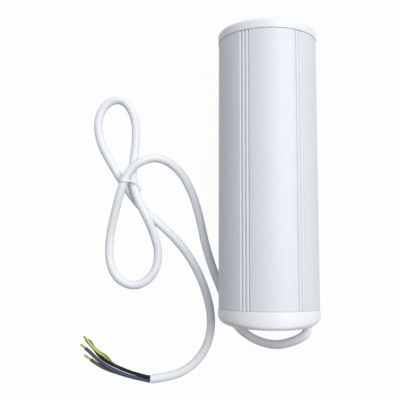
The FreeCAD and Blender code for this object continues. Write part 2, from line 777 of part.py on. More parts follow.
def drive_spline():
    """A toothed sleeve on the output shaft's end, with its teeth as one outline."""
    outline = []
    teeth = int(float(s.spline_teeth))
    pitch = 2 * math.pi / teeth
    for tooth in range(teeth):
        for share, radius in (
            (-ROOT_SHARE, s.spline_root_radius),
            (-TIP_SHARE, s.spline_radius),
            (TIP_SHARE, s.spline_radius),
            (ROOT_SHARE, s.spline_root_radius),
        ):
            angle = (tooth + share) * pitch
            outline.append(V(float(radius) * math.cos(angle), float(radius) * math.sin(angle), 0))
    solid = prism(outline, SPLINE_START, s.spline_length)
    hole = Part.makeCylinder(float(s.shaft_radius + s.press_gap), float(s.spline_length))
    hole.translate(V(0, 0, float(SPLINE_START)))
    keep(lay(shaped(solid.cut(hole))), "drive_spline")


def shaped(shape):
    """A feature that carries a shape worked out from the sheet."""
    feature = DOC.addObject("Part::Feature", "Shape")
    feature.Shape = shape
    return feature


def prism(outline, start, length):
    points = [point + V(0, 0, float(start)) for point in outline]
    face = Part.Face(Part.makePolygon(points + points[:1]))
    return face.extrude(V(0, 0, float(length)))


# Gears: involute teeth of 20 degrees, each flank drawn with four chords

PRESSURE_ANGLE = math.radians(20)


def involute(radius, base_radius):
    """The polar angle of an involute where it reaches a radius."""
    if radius <= base_radius:
        return 0.0
    roll = math.sqrt((radius / base_radius) ** 2 - 1)
    return roll - math.atan(roll)


def half_tooth(radius, teeth, play):
    """Half the angle that a tooth, or for a ring gear a tooth space, covers at a radius."""
    pitch_radius = float(s.gear_module) * teeth / 2
    base_radius = pitch_radius * math.cos(PRESSURE_ANGLE)
    at_pitch = math.pi / (2 * teeth) + involute(pitch_radius, base_radius)
    return at_pitch - involute(radius, base_radius) - play / (2 * pitch_radius)


def gear_outline(teeth, inner, outer, play, first_angle):
    """The outline of a gear, or of the opening of a ring gear when the play is negative."""
    outline = []
    levels = [inner + (outer - inner) * share / 4 for share in range(5)]
    for tooth in range(teeth):
        middle = first_angle + 2 * math.pi * tooth / teeth
        for radius in levels:
            angle = middle - half_tooth(radius, teeth, play)
            outline.append(V(radius * math.cos(angle), radius * math.sin(angle), 0))
        for radius in reversed(levels):
            angle = middle + half_tooth(radius, teeth, play)
            outline.append(V(radius * math.cos(angle), radius * math.sin(angle), 0))
    return outline


def outer_gear(teeth, start, length, first_angle, x=0.0, y=0.0):
    module = float(s.gear_module)
    inner = module * (teeth / 2 - DEDENDUM)
    outer = module * (teeth / 2 + ADDENDUM)
    play = float(s.tooth_backlash) / 2
    outline = gear_outline(teeth, inner, outer, play, first_angle)
    return prism([point + V(x, y, 0) for point in outline], start, length)


def upright(radius, start, length, x=0.0, y=0.0):
    """A plain cylinder as a shape, for boring the gears."""
    return Part.makeCylinder(float(radius), float(length), V(x, y, float(start)))


def ring_gear():
    """The gearbox body: 48 inner teeth the whole way, with four bolt holes."""
    teeth = int(float(RING_TEETH))
    module = float(s.gear_module)
    inner = module * (teeth / 2 - ADDENDUM)
    outer = float(RING_ROOT)
    play = -float(s.tooth_backlash) / 2
    length = COVER_START - RING_START
    opening = gear_outline(teeth, inner, outer, play, math.pi / teeth)
    solid = upright(GEARBOX_RADIUS, RING_START, length).cut(prism(opening, RING_START, length))
    for x, y in bolt_places():
        solid = solid.cut(upright(s.tie_bolt_radius + s.seat_gap, RING_START, length, x, y))
    keep(lay(shaped(solid)), "ring_gear")


def bolt_places():
    return [
        (float(s.tie_bolt_circle) * math.cos(angle), float(s.tie_bolt_circle) * math.sin(angle))
        for angle in (0, math.pi / 2, math.pi, 3 * math.pi / 2)
    ]


def planet_place(index):
    angle = 2 * math.pi * index / PLANETS
    return float(PLANET_CIRCLE) * math.cos(angle), float(PLANET_CIRCLE) * math.sin(angle), angle


def planets(stage, start):
    """Three planets, each with a tooth space towards the sun's tooth."""
    teeth = int(float(s.planet_teeth))
    for index in range(PLANETS):
        x, y, angle = planet_place(index)
        gear = outer_gear(teeth, start, s.planet_width, angle + math.pi / teeth, x, y)
        bore = upright(s.planet_pin_radius + s.running_gap, start, s.planet_width, x, y)
        keep(lay(shaped(gear.cut(bore))), f"planet_{stage}{'abc'[index]}")


def planet_pins(stage, carrier_start):
    start = carrier_start - s.gear_gap - s.planet_width
    length = s.planet_width + s.gear_gap + s.carrier_thickness
    pins = []
    for index in range(PLANETS):
        angle = 360 * index / PLANETS
        x, y = on_circle(PLANET_CIRCLE, angle)
        pins.append(rod(s.planet_pin_radius, length, x, y, start))
    keep(lay(group(pins)), f"planet_pins_{stage}")


def carrier(name, start, bore, sun_length):
    """A disc that holds three pins, with the next stage's sun gear on it where it has one."""
    solid = upright(CARRIER_RADIUS, start, s.carrier_thickness)
    for index in range(PLANETS):
        x, y, angle = planet_place(index)
        hole = upright(s.planet_pin_radius + s.press_gap, start, s.carrier_thickness, x, y)
        solid = solid.cut(hole)
    if bore is not None:
        solid = solid.cut(upright(bore, start, s.carrier_thickness))
    if sun_length is not None:
        sun = outer_gear(int(float(s.sun_teeth)), start, s.carrier_thickness + sun_length, 0)
        solid = solid.fuse(sun)
    keep(lay(shaped(solid.removeSplitter())), name)


def gearbox():
    ring_gear()
    carrier("carrier_1", CARRIER_1_START, None, s.gear_gap + s.planet_width)
    carrier("carrier_2", CARRIER_2_START, s.shaft_radius + s.press_gap, None)
    planets(1, PLANET_1_START)
    planets(2, PLANET_2_START)
    planet_pins(1, CARRIER_1_START)
    planet_pins(2, CARRIER_2_START)
    bolts = [on_circle(s.tie_bolt_circle, 90 * turn) for turn in range(4)]
    screws = [on_circle(s.plate_screw_circle, 45 + 90 * turn) for turn in range(4)]
    bolt_hole = s.tie_bolt_radius + s.seat_gap
    screw_hole = s.screw_radius + s.seat_gap
    holes = [(s.bearing_radius + s.seat_gap, 0, 0)]
    holes += [(bolt_hole, x, y) for x, y in bolts]
    holes += [(screw_hole, x, y) for x, y in screws]
    disc_body(
        "gearbox_cover",
        [(COVER_START, s.cover_thickness, GEARBOX_RADIUS)],
        [(COVER_START, s.cover_thickness, *hole) for hole in holes],
    )
    holes = [(s.bush_radius + s.seat_gap, 0, 0)]
    holes += [(bolt_hole, x, y) for x, y in bolts]
    disc_body(
        "gearbox_base",
        [(BASE_START, s.base_thickness, GEARBOX_RADIUS)],
        [(BASE_START, s.base_thickness, *hole) for hole in holes],
    )
    start = BASE_START - s.screw_head_height
    length = COVER_START + s.cover_thickness - BASE_START
    solids = []
    for x, y in bolts:
        head = rod(s.tie_bolt_head_radius, s.screw_head_height, x, y, start)
        solids.append(joined([head, rod(s.tie_bolt_radius, length, x, y, BASE_START)]))
    keep(lay(group(solids)), "gearbox_bolts")


# Motor


def motor_can():
    inner = s.can_radius - s.can_wall
    disc_body(
        "motor_can",
        [(CAN_START, s.can_length, s.can_radius)],
        [
            (CAN_START, s.can_length - s.can_wall, inner, 0, 0),
            (BASE_START - s.can_wall, s.can_wall, s.bush_radius + s.seat_gap, 0, 0),
        ],
    )


def magnets():
    outer = s.can_radius - s.can_wall - s.seat_gap
    ring = cut_away(
        rod(outer, s.magnet_length, 0, 0, MAGNET_START),
        [rod(outer - s.magnet_thickness + s.seat_gap, s.magnet_length, 0, 0, MAGNET_START)],
    )
    gap = block(
        -s.can_radius, -s.magnet_split, MAGNET_START,
        2 * s.can_radius, 2 * s.magnet_split, s.magnet_length,
    )
    keep(lay(cut_away(ring, [gap])), "field_magnets")


def armature():
    body = body_of("armature_core")
    sketch = sketch_at(body, CORE_START)
    add_circle(sketch, CORE_RADIUS)
    add_circle(sketch, s.motor_shaft_radius + s.press_gap)
    pad(body, sketch, s.core_length)
    slots = int(float(s.core_slots))
    for draw in (slot_circle, slot_mouth):
        sketch = sketch_at(body, CORE_START)
        draw(sketch)
        slot = pocket(body, sketch, s.core_length)
        pattern = body.newObject("PartDesign::PolarPattern", "Slots")
        pattern.Originals = [slot]
        pattern.Axis = (sketch, ["N_Axis"])
        pattern.Angle = 360
        pattern.Occurrences = slots
        body.Tip = pattern
    length = s.core_length + 2 * s.winding_height
    start = CORE_START - s.winding_height
    solids = []
    for turn in range(slots):
        x, y = on_circle(s.slot_circle, 360 * turn / slots)
        solids.append(rod(s.slot_radius - s.winding_gap, length, x, y, start))
    turns_outer = s.slot_circle + s.slot_radius
    for end in (start, CORE_START + s.core_length + s.winding_gap):
        height = s.winding_height - s.winding_gap
        outer = rod(turns_outer, height, 0, 0, end)
        solids.append(cut_away(outer, [rod(s.winding_bore_radius, height, 0, 0, end)]))
    keep(lay(joined(solids)), "armature_winding")


def slot_circle(sketch):
    add_circle(sketch, s.slot_radius, s.slot_circle, 0)


def slot_mouth(sketch):
    add_rectangle(sketch, s.slot_circle, -s.slot_mouth, CORE_RADIUS + s.cut_reach, s.slot_mouth)


def brush_gear():
    """The plastic end bell with its two brush guides and the sensor board's standoffs."""
    middle = COMMUTATOR_START + s.commutator_length / 2
    half = s.brush_width / 2
    inner = s.commutator_radius + s.brush_gap
    bell = rod(s.can_radius - s.can_wall - s.seat_gap, s.bell_thickness, 0, 0, CAN_START)
    rim = rod(s.can_radius, s.bell_thickness, 0, 0, BELL_START)
    parts = [bell, rim]
    tools = [rod(s.bush_radius + s.seat_gap, 2 * s.bell_thickness, 0, 0, BELL_START)]
    brushes = []
    outer_half = half + s.guide_wall
    top = middle + outer_half
    for side in (-1, 1):
        brush_end = inner + s.brush_length
        guide_start = s.commutator_radius + s.guide_gap
        guide_length = s.brush_length
        x = guide_start if side > 0 else -guide_start - guide_length
        foot = CAN_START + s.bell_thickness / 2
        parts.append(block(x, -outer_half, foot, guide_length, 2 * outer_half, top - foot))
        open_x = x - s.cut_reach
        open_length = guide_length + 2 * s.cut_reach
        fit = half + s.seat_gap
        tools.append(block(open_x, -fit, middle - fit, open_length, 2 * fit, 2 * fit))
        brush_x = inner if side > 0 else -brush_end
        brushes.append(block(brush_x, -half, middle - half, s.brush_length, 2 * half, 2 * half))
    for turn in range(3):
        x, y = on_circle(s.standoff_circle, 90 + 120 * turn)
        parts.append(rod(s.standoff_radius, s.standoff_height, x, y, SENSOR_END))
    keep(lay(cut_away(joined(parts), tools)), "motor_end_bell")
    keep(lay(group(brushes)), "carbon_brushes")


def motor_shaft():
    """One shaft from the speed sensor's magnet to the first sun gear."""
    start = BELL_START - s.gear_gap - s.magnet_disc_thickness
    end = PLANET_1_START + s.planet_width
    keep(lay(rod(s.motor_shaft_radius, end - start, 0, 0, start), 0, 0, start), "motor_shaft")
    bore = s.motor_shaft_radius + s.press_gap
    ring_body("sensor_magnet", start, s.magnet_disc_thickness, s.magnet_disc_radius, bore)
    ring_body(
        "commutator", COMMUTATOR_START, s.commutator_length, s.commutator_radius, bore
    )
    gear = outer_gear(int(float(s.sun_teeth)), PLANET_1_START, s.planet_width, 0)
    keep(lay(shaped(gear.cut(upright(bore, PLANET_1_START, s.planet_width)))), "sun_gear")


def bushes():
    bore = s.motor_shaft_radius + s.running_gap
    solids = []
    for start in (BELL_START, RING_START - s.gear_gap - s.bush_length):
        outside = rod(s.bush_radius, s.bush_length, 0, 0, start)
        solids.append(cut_away(outside, [rod(bore, s.bush_length, 0, 0, start)]))
    keep(lay(group(solids)), "motor_bushes")
    ring_body(
        "output_bush", COVER_START, s.cover_thickness + s.plate_thickness,
        s.bearing_radius, s.shaft_radius + s.running_gap,
    )


def cradle():
    """An oval frame that fits the tube's bore and holds the motor in a rubber ring."""
    body = body_of("motor_cradle")
    sketch = sketch_at(body, CRADLE_START)
    add_oval(sketch, BORE_A - s.cradle_gap, BORE_B - s.cradle_gap)
    pad(body, sketch, s.cradle_thickness)
    bore_features(body, CRADLE_START, s.cradle_thickness, s.cradle_gap, True)
    sketch = sketch_at(body, CRADLE_START)
    outer = s.can_radius + s.damper_thickness
    add_circle(sketch, outer + s.seat_gap)
    pocket(body, sketch, s.cradle_thickness)
    ring_body("rubber_ring", CRADLE_START, s.cradle_thickness, outer, s.can_radius + s.seat_gap)


def sensor_board():
    start = SENSOR_END - s.board_thickness
    disc_body("sensor_board", [(start, s.board_thickness, s.sensor_board_radius)])


# Electronics


def main_board():
    half = BORE_A * (1 - (s.board_y / BORE_B) * (s.board_y / BORE_B)).root() - s.board_edge_gap
    board = block(-half, BOARD_FRONT, BOARD_START, 2 * half, s.board_thickness, s.board_length)
    keep(lay(board, -half, BOARD_FRONT, BOARD_START), "main_board")


def on_board(width, height, length, x, above):
    """A block that stands on the front of the main board."""
    return block(x - width / 2, BOARD_FRONT - height, BOARD_START + above, width, height, length)


def board_parts():
    core = on_board(
        s.transformer_width, s.transformer_height, s.transformer_length,
        s.transformer_x, s.transformer_lift,
    )
    keep(lay(group([core])), "transformer")
    cans = []
    for step in range(3):
        x = s.capacitor_x + step * s.capacitor_pitch
        height = BOARD_START + s.capacitor_lift
        cans.append(rod(s.capacitor_radius, s.capacitor_height, x, BOARD_FRONT, height, TO_FRONT))
    keep(lay(group(cans)), "capacitors")
    relays = []
    for step in range(2):
        x = s.relay_x + step * s.relay_pitch
        relays.append(on_board(s.relay_width, s.relay_height, s.relay_length, x, s.relay_lift))
    keep(lay(group(relays)), "relays")
    terminal = on_board(
        s.terminal_width, s.terminal_height, s.terminal_length, s.terminal_x, s.terminal_lift
    )
    hole = s.core_diameter / 2 + s.terminal_gap
    start = BOARD_START + s.terminal_lift
    holes = [rod(hole, s.terminal_depth, x, y, start) for x, y in core_terminals()]
    keep(lay(cut_away(terminal, holes)), "terminal_block")
    leads = []
    lead_start = BOARD_START + s.capacitor_lift + s.capacitor_radius + s.lead_gap
    for side in (-1, 1):
        leads.append(
            rod(s.lead_radius, BELL_START - lead_start, side * s.lead_offset,
                BOARD_FRONT - s.lead_radius, lead_start)
        )
    keep(lay(group(leads)), "motor_leads")


def core_terminals():
    """Where the four cores enter the terminal block, two rows of two."""
    pair = s.core_diameter / 2 + 2 * s.terminal_gap
    middle = BOARD_FRONT - s.terminal_height / 2
    places = []
    for row, first in ((-1, -1.5), (1, -0.5)):
        for step in (0, 2):
            places.append((s.terminal_x + (first + step) * s.terminal_pitch, middle + row * pair))
    return places


def io_board():
    """The small board on the cap's posts, with the tactile switch soldered under it."""
    board = block(
        -s.io_width / 2, -s.io_depth / 2, s.io_height, s.io_width, s.io_depth, s.board_thickness
    )
    half = s.switch_size / 2
    switch = block(
        s.button_x - half, s.button_y - half, SWITCH_START,
        s.switch_size, s.switch_size, s.switch_height,
    )
    keep(lay(group([board, switch])), "io_board")


def jack():
    """The control socket: a box with its mouth in the end face and a slot for the latch."""
    case = block(
        s.jack_x - s.jack_width / 2, -s.jack_depth / 2, s.jack_setback,
        s.jack_width, s.jack_depth, s.io_height - s.jack_setback,
    )
    mouth = block(
        s.jack_x - s.jack_opening_width / 2, -s.jack_opening_depth / 2, s.jack_setback,
        s.jack_opening_width, s.jack_opening_depth, s.jack_opening_length,
    )
    latch = block(
        s.jack_x - s.latch_width / 2, s.jack_opening_depth / 2, s.jack_setback,
        s.latch_width, s.latch_depth, s.jack_opening_length,
    )
    keep(lay(cut_away(case, [mouth, latch])), "control_socket")


def button():
    """The programming button and its spring, which stands on the switch."""
    x = s.button_x
    y = s.button_y
    flange_end = BUTTON_FLANGE + s.button_flange_thickness
    face = rod(s.button_radius, flange_end - s.button_setback, x, y, s.button_setback)
    flange = rod(s.button_flange_radius, s.button_flange_thickness, x, y, BUTTON_FLANGE)
    stem_end = SWITCH_START - s.button_travel - s.button_rest_gap
    stem = rod(s.button_stem_radius, stem_end - BUTTON_FLANGE, x, y, BUTTON_FLANGE)
    keep(lay(joined([face, flange, stem])), "program_button")
    start = float(flange_end + s.spring_wire / 2 + s.spring_gap)
    end = float(SWITCH_START - s.spring_wire / 2 - s.spring_gap)
    pitch = (end - start) / float(s.spring_turns)
    radius = float(s.spring_radius)
    coil = Part.makeHelix(pitch, end - start, radius)
    foot = V(float(x), float(y), start)
    coil.translate(foot)
    rim = foot + V(radius, 0, 0)
    section = Part.Wire(Part.makeCircle(float(s.spring_wire) / 2, rim, V(0, 1, 0)))
    solid = Part.Wire(coil.Edges).makePipeShell([section], True, True)
    keep(lay(shaped(solid)), "button_spring")


def light_pipe():
    start = s.light_pipe_setback
    length = s.io_height - s.fit_gap - start
    pipe = rod(s.light_pipe_radius, length, s.button_x, s.light_pipe_y, start)
    keep(lay(pipe, s.button_x, s.light_pipe_y, start), "light_pipe")


# Cable entry


def cable_entry():
    x = CABLE_X
    half = s.clamp_half_depth
    jacket = s.cable_diameter / 2
    body = body_of("cable_grommet")
    for start, length, radius in (
        (as_size(0), s.cap_floor, s.grommet_radius),
        (s.cap_floor, s.grommet_flange, s.grommet_flange_radius),
    ):
        sketch = sketch_at(body, start)
        add_circle(sketch, radius, x, 0)
        add_circle(sketch, jacket + s.seat_gap, x, 0)
        pad(body, sketch, length)
    saddle = block(
        x - s.clamp_gap / 2 - s.clamp_thickness, -half, s.clamp_start,
        s.clamp_thickness, 2 * half, s.clamp_length,
    )
    around = rod(jacket + s.seat_gap, s.clamp_length, x, as_size(0), s.clamp_start)
    middle = s.clamp_start + s.clamp_length / 2
    holes = []
    screws = []
    outside = x - s.clamp_gap / 2 - s.clamp_thickness
    for y in (-s.clamp_screw_y, s.clamp_screw_y):
        holes.append(
            rod(
                s.clamp_screw_radius + s.clamp_screw_gap, s.clamp_thickness,
                outside, y, middle, TO_RIGHT,
            )
        )
        shank = rod(
            s.clamp_screw_radius, s.clamp_thickness + s.clamp_gap, outside, y, middle, TO_RIGHT
        )
        head = rod(
            s.clamp_screw_radius * 2, s.clamp_screw_head,
            outside - s.clamp_screw_head, y, middle, TO_RIGHT,
        )
        screws.append(joined([head, shank]))
    keep(lay(cut_away(saddle, [around, *holes])), "cord_clamp")
    keep(lay(group(screws)), "clamp_screws")


# Free cords: straight runs joined by tangent arcs


def rounded_path(points, label):
    """A wire of straight runs and tangent arcs, each arc as large as its runs allow."""
    edges = []
    radii = []
    here = points[0]
    for before, corner, after in zip(points, points[1:], points[2:]):
        back = before - corner
        ahead = after - corner
        shorter = min(back.Length, ahead.Length)
        turn = math.pi - back.getAngle(ahead)
        back.normalize()
        ahead.normalize()
        reach = 0.45 * shorter
        radii.append(reach / math.tan(turn / 2))
        start = corner + back * reach
        end = corner + ahead * reach
        inwards = back + ahead
        inwards.normalize()
        depth = radii[-1] / math.cos(turn / 2) - radii[-1]
        edges.append(Part.LineSegment(here, start).toShape())
        edges.append(Part.Arc(start, corner + inwards * depth, end).toShape())
        here = end
    edges.append(Part.LineSegment(here, points[-1]).toShape())
    wire = Part.Wire(edges)
    print(label, "length", round(wire.Length, 1), "radii", [round(radius, 1) for radius in radii])
    return wire


def tube_along(points, radius, label):
    """A round tube along a rounded path, checked by its volume."""
    path = rounded_path(points, label)
    ahead = points[1] - points[0]
    section = Part.Wire(Part.makeCircle(radius, points[0], ahead))
    tube = path.makePipeShell([section], True, False)
    volume = math.pi * radius * radius * path.Length
    print(label, "volume share", round(tube.Volume / volume, 4))
    return tube


# The lead's route: x, y and the height above where it lies, hand-set along its run
ROUTE = [
    (26.9, -131.4, 31.65), (18.5, -136.4, 26.95), (6.0, -140.4, 17.95), (-9.0, -137.4, 6.45),
    (-22.5, -128.2, 0), (-30.0, -114.0, 0), (-35.8, -98.0, 0), (-43.2, -80.0, 0),
    (-50.2, -58.0, 0), (-54.6, -36.0, 0), (-61.2, -14.0, 0), (-72.5, 5.6, 0),
    (-88.8, 15.6, 4.0), (-103.8, 12.0, 9.2), (-115.2, 2.6, 9.8), (-121.2, -13.0, 9.8),
    (-126.4, -32.0, 5.0), (-131.6, -54.0, 0), (-131.2, -76.0, 0), (-122.4, -90.6, 0),
    (-106.8, -95.0, 0), (-92.8, -84.8, 0), (-88.8, -67.4, 0), (-93.2, -50.4, 4.3),
    (-99.0, -36.9, 8.4), (-107.5, -20.9, 8.4), (-112.7, -5.5, 3.4), (-112.3, 12.5, 0),
    (-109.8, 32.0, 0), (-111.7, 53.0, 0), (-121.6, 67.4, 0), (-135.8, 65.4, 0),
    (-144.6, 49.4, 0), (-141.6, 28.5, 0), (-129.8, 7.5, 0), (-117.0, -12.4, 0),
    (-103.8, -28.9, 0), (-86.5, -43.5, 0), (-70.5, -59.0, 0), (-57.9, -77.5, 0),
    (-48.9, -98.0, 0), (-44.0, -120.0, 0), (-46.4, -141.0, 0), (-57.3, -157.6, 0),
    (-75.0, -168.3, 0), (-94.4, -170.5, 0),
]

# The four cores beyond the jacket's end: x, y and the height of the core's middle.
# They leave two over two and fan out.
CORES = {
    "core_black": [
        (-95.2, -169.0, 5.1), (-102.6, -167.2, 4.9), (-111.8, -164.56, 5.36),
        (-120.1, -161.54, 4.16), (-125.7, -158.97, 5.48), (-131.4, -156.41, 4.49),
        (-136.4, -153.66, 2.27), (-140.4, -149.1, 2.01), (-143.5, -144.7, 1.5),
        (-146.9, -139.9, 1.5),
    ],
    "core_green_yellow": [
        (-95.2, -169.0, 2.1), (-99.97, -168.81, 2.28), (-112.8, -165.08, 2.12),
        (-122.64, -161.3, 1.42), (-127.93, -158.31, 1.56), (-131.13, -153.57, 2.08),
        (-135.12, -150.75, 3.63), (-139.11, -148.3, 4.77), (-144.4, -143.4, 4.8),
        (-148.9, -138.1, 4.8),
    ],
    "core_blue": [
        (-95.2, -172.0, 5.1), (-103.4, -170.2, 4.9), (-112.9, -167.8, 4.9), (-122.1, -164.2, 4.8),
        (-129.3, -161.0, 4.5), (-135.1, -158.1, 3.2), (-140.8, -154.0, 1.7), (-145.6, -149.4, 1.5),
        (-150.0, -146.0, 1.5),
    ],
    "core_brown": [
        (-95.2, -172.0, 2.1), (-103.7, -171.0, 1.7), (-113.3, -168.8, 1.5), (-122.5, -166.0, 1.5),
        (-129.6, -163.9, 1.5), (-135.9, -161.2, 1.5), (-141.2, -158.0, 1.5), (-145.3, -155.2, 1.5),
    ],
}
TIP_LENGTHS = {
    "core_black": s.tip_black,
    "core_green_yellow": s.tip_green_yellow,
    "core_blue": s.tip_blue,
    "core_brown": s.tip_brown,
}


def free_cords():
    radius = float(s.cable_diameter) / 2
    lying = radius + float(s.cable_floor_gap)
    exit_x = float(CABLE_X)
    exit_y = -float(MIDDLE)
    exit_z = float(s.half_depth)
    points = [V(exit_x, exit_y, exit_z), V(exit_x, exit_y - float(s.exit_length), exit_z)]
    points += [V(x, y, lying + lift) for x, y, lift in ROUTE]
    keep(shaped(tube_along(points, radius, "power_cable")), "power_cable")
    tips = []
    for name, route in CORES.items():
        points = [V(*point) for point in route]
        keep(shaped(tube_along(points, float(s.core_diameter) / 2, name)), name)
        along = points[-1] - points[-2]
        length = float(TIP_LENGTHS[name])
        tips.append(Part.makeCylinder(float(s.tip_diameter) / 2, length, points[-1], along))
    keep(shaped(Part.makeCompound(tips)), "copper_ends")


def inner_cable():
    """The lead inside the bottom cap: its jacket, then four cores to the terminal block."""
    x = float(CABLE_X)
    jacket_end = float(s.clamp_start + s.clamp_length + s.jacket_inside)
    solids = [upright(s.cable_diameter / 2, 0, jacket_end, x, 0.0)]
    radius = float(s.core_diameter) / 2
    block_face = float(BOARD_START + s.terminal_lift)
    step = float(s.inner_bend)
    pair = radius + float(s.core_gap)
    rows = [(-pair, -pair), (pair, -pair), (-pair, pair), (pair, pair)]
    for (dx, dy), (to_x, to_y) in zip(rows, core_terminals()):
        bend = jacket_end + (step if dx < 0 else 2 * step)
        points = [
            V(x + dx, dy, jacket_end),
            V(x + dx, dy, bend),
            V(float(to_x), float(to_y), block_face - step),
            V(float(to_x), float(to_y), block_face + step),
        ]
        solids.append(tube_along(points, radius, "inner core"))
    keep(lay(shaped(Part.makeCompound(solids))), "inner_cable")


# The middles of the two strands in the tie, and the turn of its loose end in degrees
TIED_STRANDS = [(-118.6, -6.2, 13.35), (-111.85, -6.2, 7.4)]
TIE_TAIL_TURN = -60


def cable_tie():
    """A flat tie round the two strands that cross at the loops, with its loose tail."""
    half = float(s.cable_diameter) / 2
    inner = half + float(s.tie_gap)
    outer = inner + float(s.tie_thickness)
    width = float(s.tie_width)
    left, right = [V(*strand) for strand in TIED_STRANDS]
    band = belt(left, right, outer, width).cut(belt(left, right, inner, width))
    tail_size = (s.tie_tail_length, s.tie_tail_width, s.tie_thickness)
    tail = Part.makeBox(*[float(size) for size in tail_size])
    tail.rotate(V(0, 0, 0), V(0, 0, 1), TIE_TAIL_TURN)
    tail.translate(V(right.x + inner, right.y, right.z))
    keep(shaped(band.fuse(tail)), "cable_tie")


def belt(left, right, radius, width):
    """The block inside a belt that runs round two strands."""
    along = right - left
    level = V(along.x, 0, along.z)
    side = V(-level.z, 0, level.x)
    side.normalize()
    side = side * radius
    ends = (left + side, right + side, right - side, left - side)
    along.normalize()
    wire = Part.Wire([
        Part.LineSegment(ends[0], ends[1]).toShape(),
        Part.Arc(ends[1], right + along * radius, ends[2]).toShape(),
        Part.LineSegment(ends[2], ends[3]).toShape(),
        Part.Arc(ends[3], left - along * radius, ends[0]).toShape(),
    ])
    solid = Part.Face(wire).extrude(V(0, width, 0))
    solid.translate(V(0, -width / 2, 0))
    return solid


def build():
    housing_tube()
    top_cap()
    bottom_cap()
    cap_screws()
    top_plate()
    plate_screws()
    output_shaft()
    drive_spline()
    gearbox()
    motor_can()
    magnets()
    armature()
    brush_gear()
    motor_shaft()
    bushes()
    cradle()
    sensor_board()
    main_board()
    board_parts()
    io_board()
    jack()
    button()
    light_pipe()
    cable_entry()
    inner_cable()
    free_cords()
    cable_tie()


def check():
    """Stops if a feature failed, a cut removed nothing, or a sub-part has no valid shape."""
    for thing in DOC.Objects:
        if "Invalid" in thing.State or "Error" in thing.State:
            raise RuntimeError(f"{thing.Name} of {thing.Label} failed")
    for feature in CUTS:
        before = feature.BaseFeature.Shape.Volume
        if feature.Shape.Volume > before - 1e-6:
            raise RuntimeError(f"{feature.Name} cuts nothing")
    for node in NODES:
        if node.Shape.isNull() or not node.Shape.isValid():
            raise RuntimeError(f"{node.Label} has no valid shape")


build()
DOC.recompute()
check()
os.makedirs("parts", exist_ok=True)
for node in NODES:
    node.Shape.exportStep(f"parts/{node.Label}.step")
print(len(NODES), "sub-parts")
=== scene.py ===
"""A wired curtain motor that lies on its back beside its loosely tied mains lead.

Metres. +Y runs along the motor towards its drive end, +Z is up, and the floor is z = 0.
"""

import json
import math

import bmesh
import bpy
import numpy as np
from bpy.props import FloatProperty, FloatVectorProperty, IntProperty, PointerProperty
from bpy.types import Operator, Panel, PropertyGroup
from mathutils import Matrix, Vector


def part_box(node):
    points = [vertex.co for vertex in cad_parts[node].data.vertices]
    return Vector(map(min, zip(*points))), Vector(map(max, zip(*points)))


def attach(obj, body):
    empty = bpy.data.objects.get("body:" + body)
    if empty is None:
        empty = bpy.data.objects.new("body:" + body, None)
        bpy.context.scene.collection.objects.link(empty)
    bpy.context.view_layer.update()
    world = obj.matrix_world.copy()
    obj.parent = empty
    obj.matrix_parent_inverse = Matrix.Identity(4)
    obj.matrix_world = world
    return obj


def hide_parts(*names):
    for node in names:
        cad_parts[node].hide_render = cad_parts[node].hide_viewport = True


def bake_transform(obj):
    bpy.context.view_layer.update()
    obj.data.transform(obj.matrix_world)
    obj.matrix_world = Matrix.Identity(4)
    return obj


bl_info = {
    "name": "Curtain Motor",
    "version": (1, 0, 0),
    "blender": (4, 5, 0),
    "location": "View3D > Sidebar > Curtain Motor",
    "description": "Dresses a wired curtain motor and its mains lead",
    "category": "Object",
}

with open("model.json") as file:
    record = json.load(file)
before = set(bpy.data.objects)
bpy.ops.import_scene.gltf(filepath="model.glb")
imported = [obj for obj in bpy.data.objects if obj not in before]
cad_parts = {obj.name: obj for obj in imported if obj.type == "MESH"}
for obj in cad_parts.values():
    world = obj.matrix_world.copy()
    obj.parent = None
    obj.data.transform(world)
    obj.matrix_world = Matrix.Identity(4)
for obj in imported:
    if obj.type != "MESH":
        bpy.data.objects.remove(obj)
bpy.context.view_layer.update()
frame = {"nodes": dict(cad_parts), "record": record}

# Places along the motor, and its axis


def ends_of(node):
    """Where a node starts and ends along the motor."""
    low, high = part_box(node)
    return low[1], high[1]


def middle_of(node):
    """The middle of a node across the motor, as x and z."""
    low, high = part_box(node)
    return (low[0] + high[0]) / 2, (low[2] + high[2]) / 2


CAP_LOW, CAP_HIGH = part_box("bottom_cap")
END_FACE = CAP_LOW[1]
TUBE_START, TUBE_END = ends_of("housing_tube")
COLLAR_END = ends_of("top_cap")[1]
AXIS_HEIGHT = (CAP_LOW[2] + CAP_HIGH[2]) / 2
HALF_WIDTH = (CAP_HIGH[0] - CAP_LOW[0]) / 2
HALF_DEPTH = (CAP_HIGH[2] - CAP_LOW[2]) / 2
UP = np.array((0.0, 0.0, 1.0))

# Radii, depths and gaps of the openings and fittings, which follow the solids

EDGE, INNER_ROUNDING = 0.0002, 0.0008
PORT_RADIUS, PORT_BORE = 0.0034, 0.00155
BOSS_RADIUS, BOSS_GAP, HOLE_RADIUS = 0.0043, 0.004, 0.0017
SEAT_RADIUS, SEAT_DEPTH = 0.0030, 0.0017
COLLAR_RADIUS, COLLAR_BORE, COLLAR_RISE = 0.015, 0.0093, 0.0035
COLLAR_EDGE, COLLAR_ROOT = 0.0004, 0.0005
TOP_FACE = COLLAR_END - COLLAR_RISE
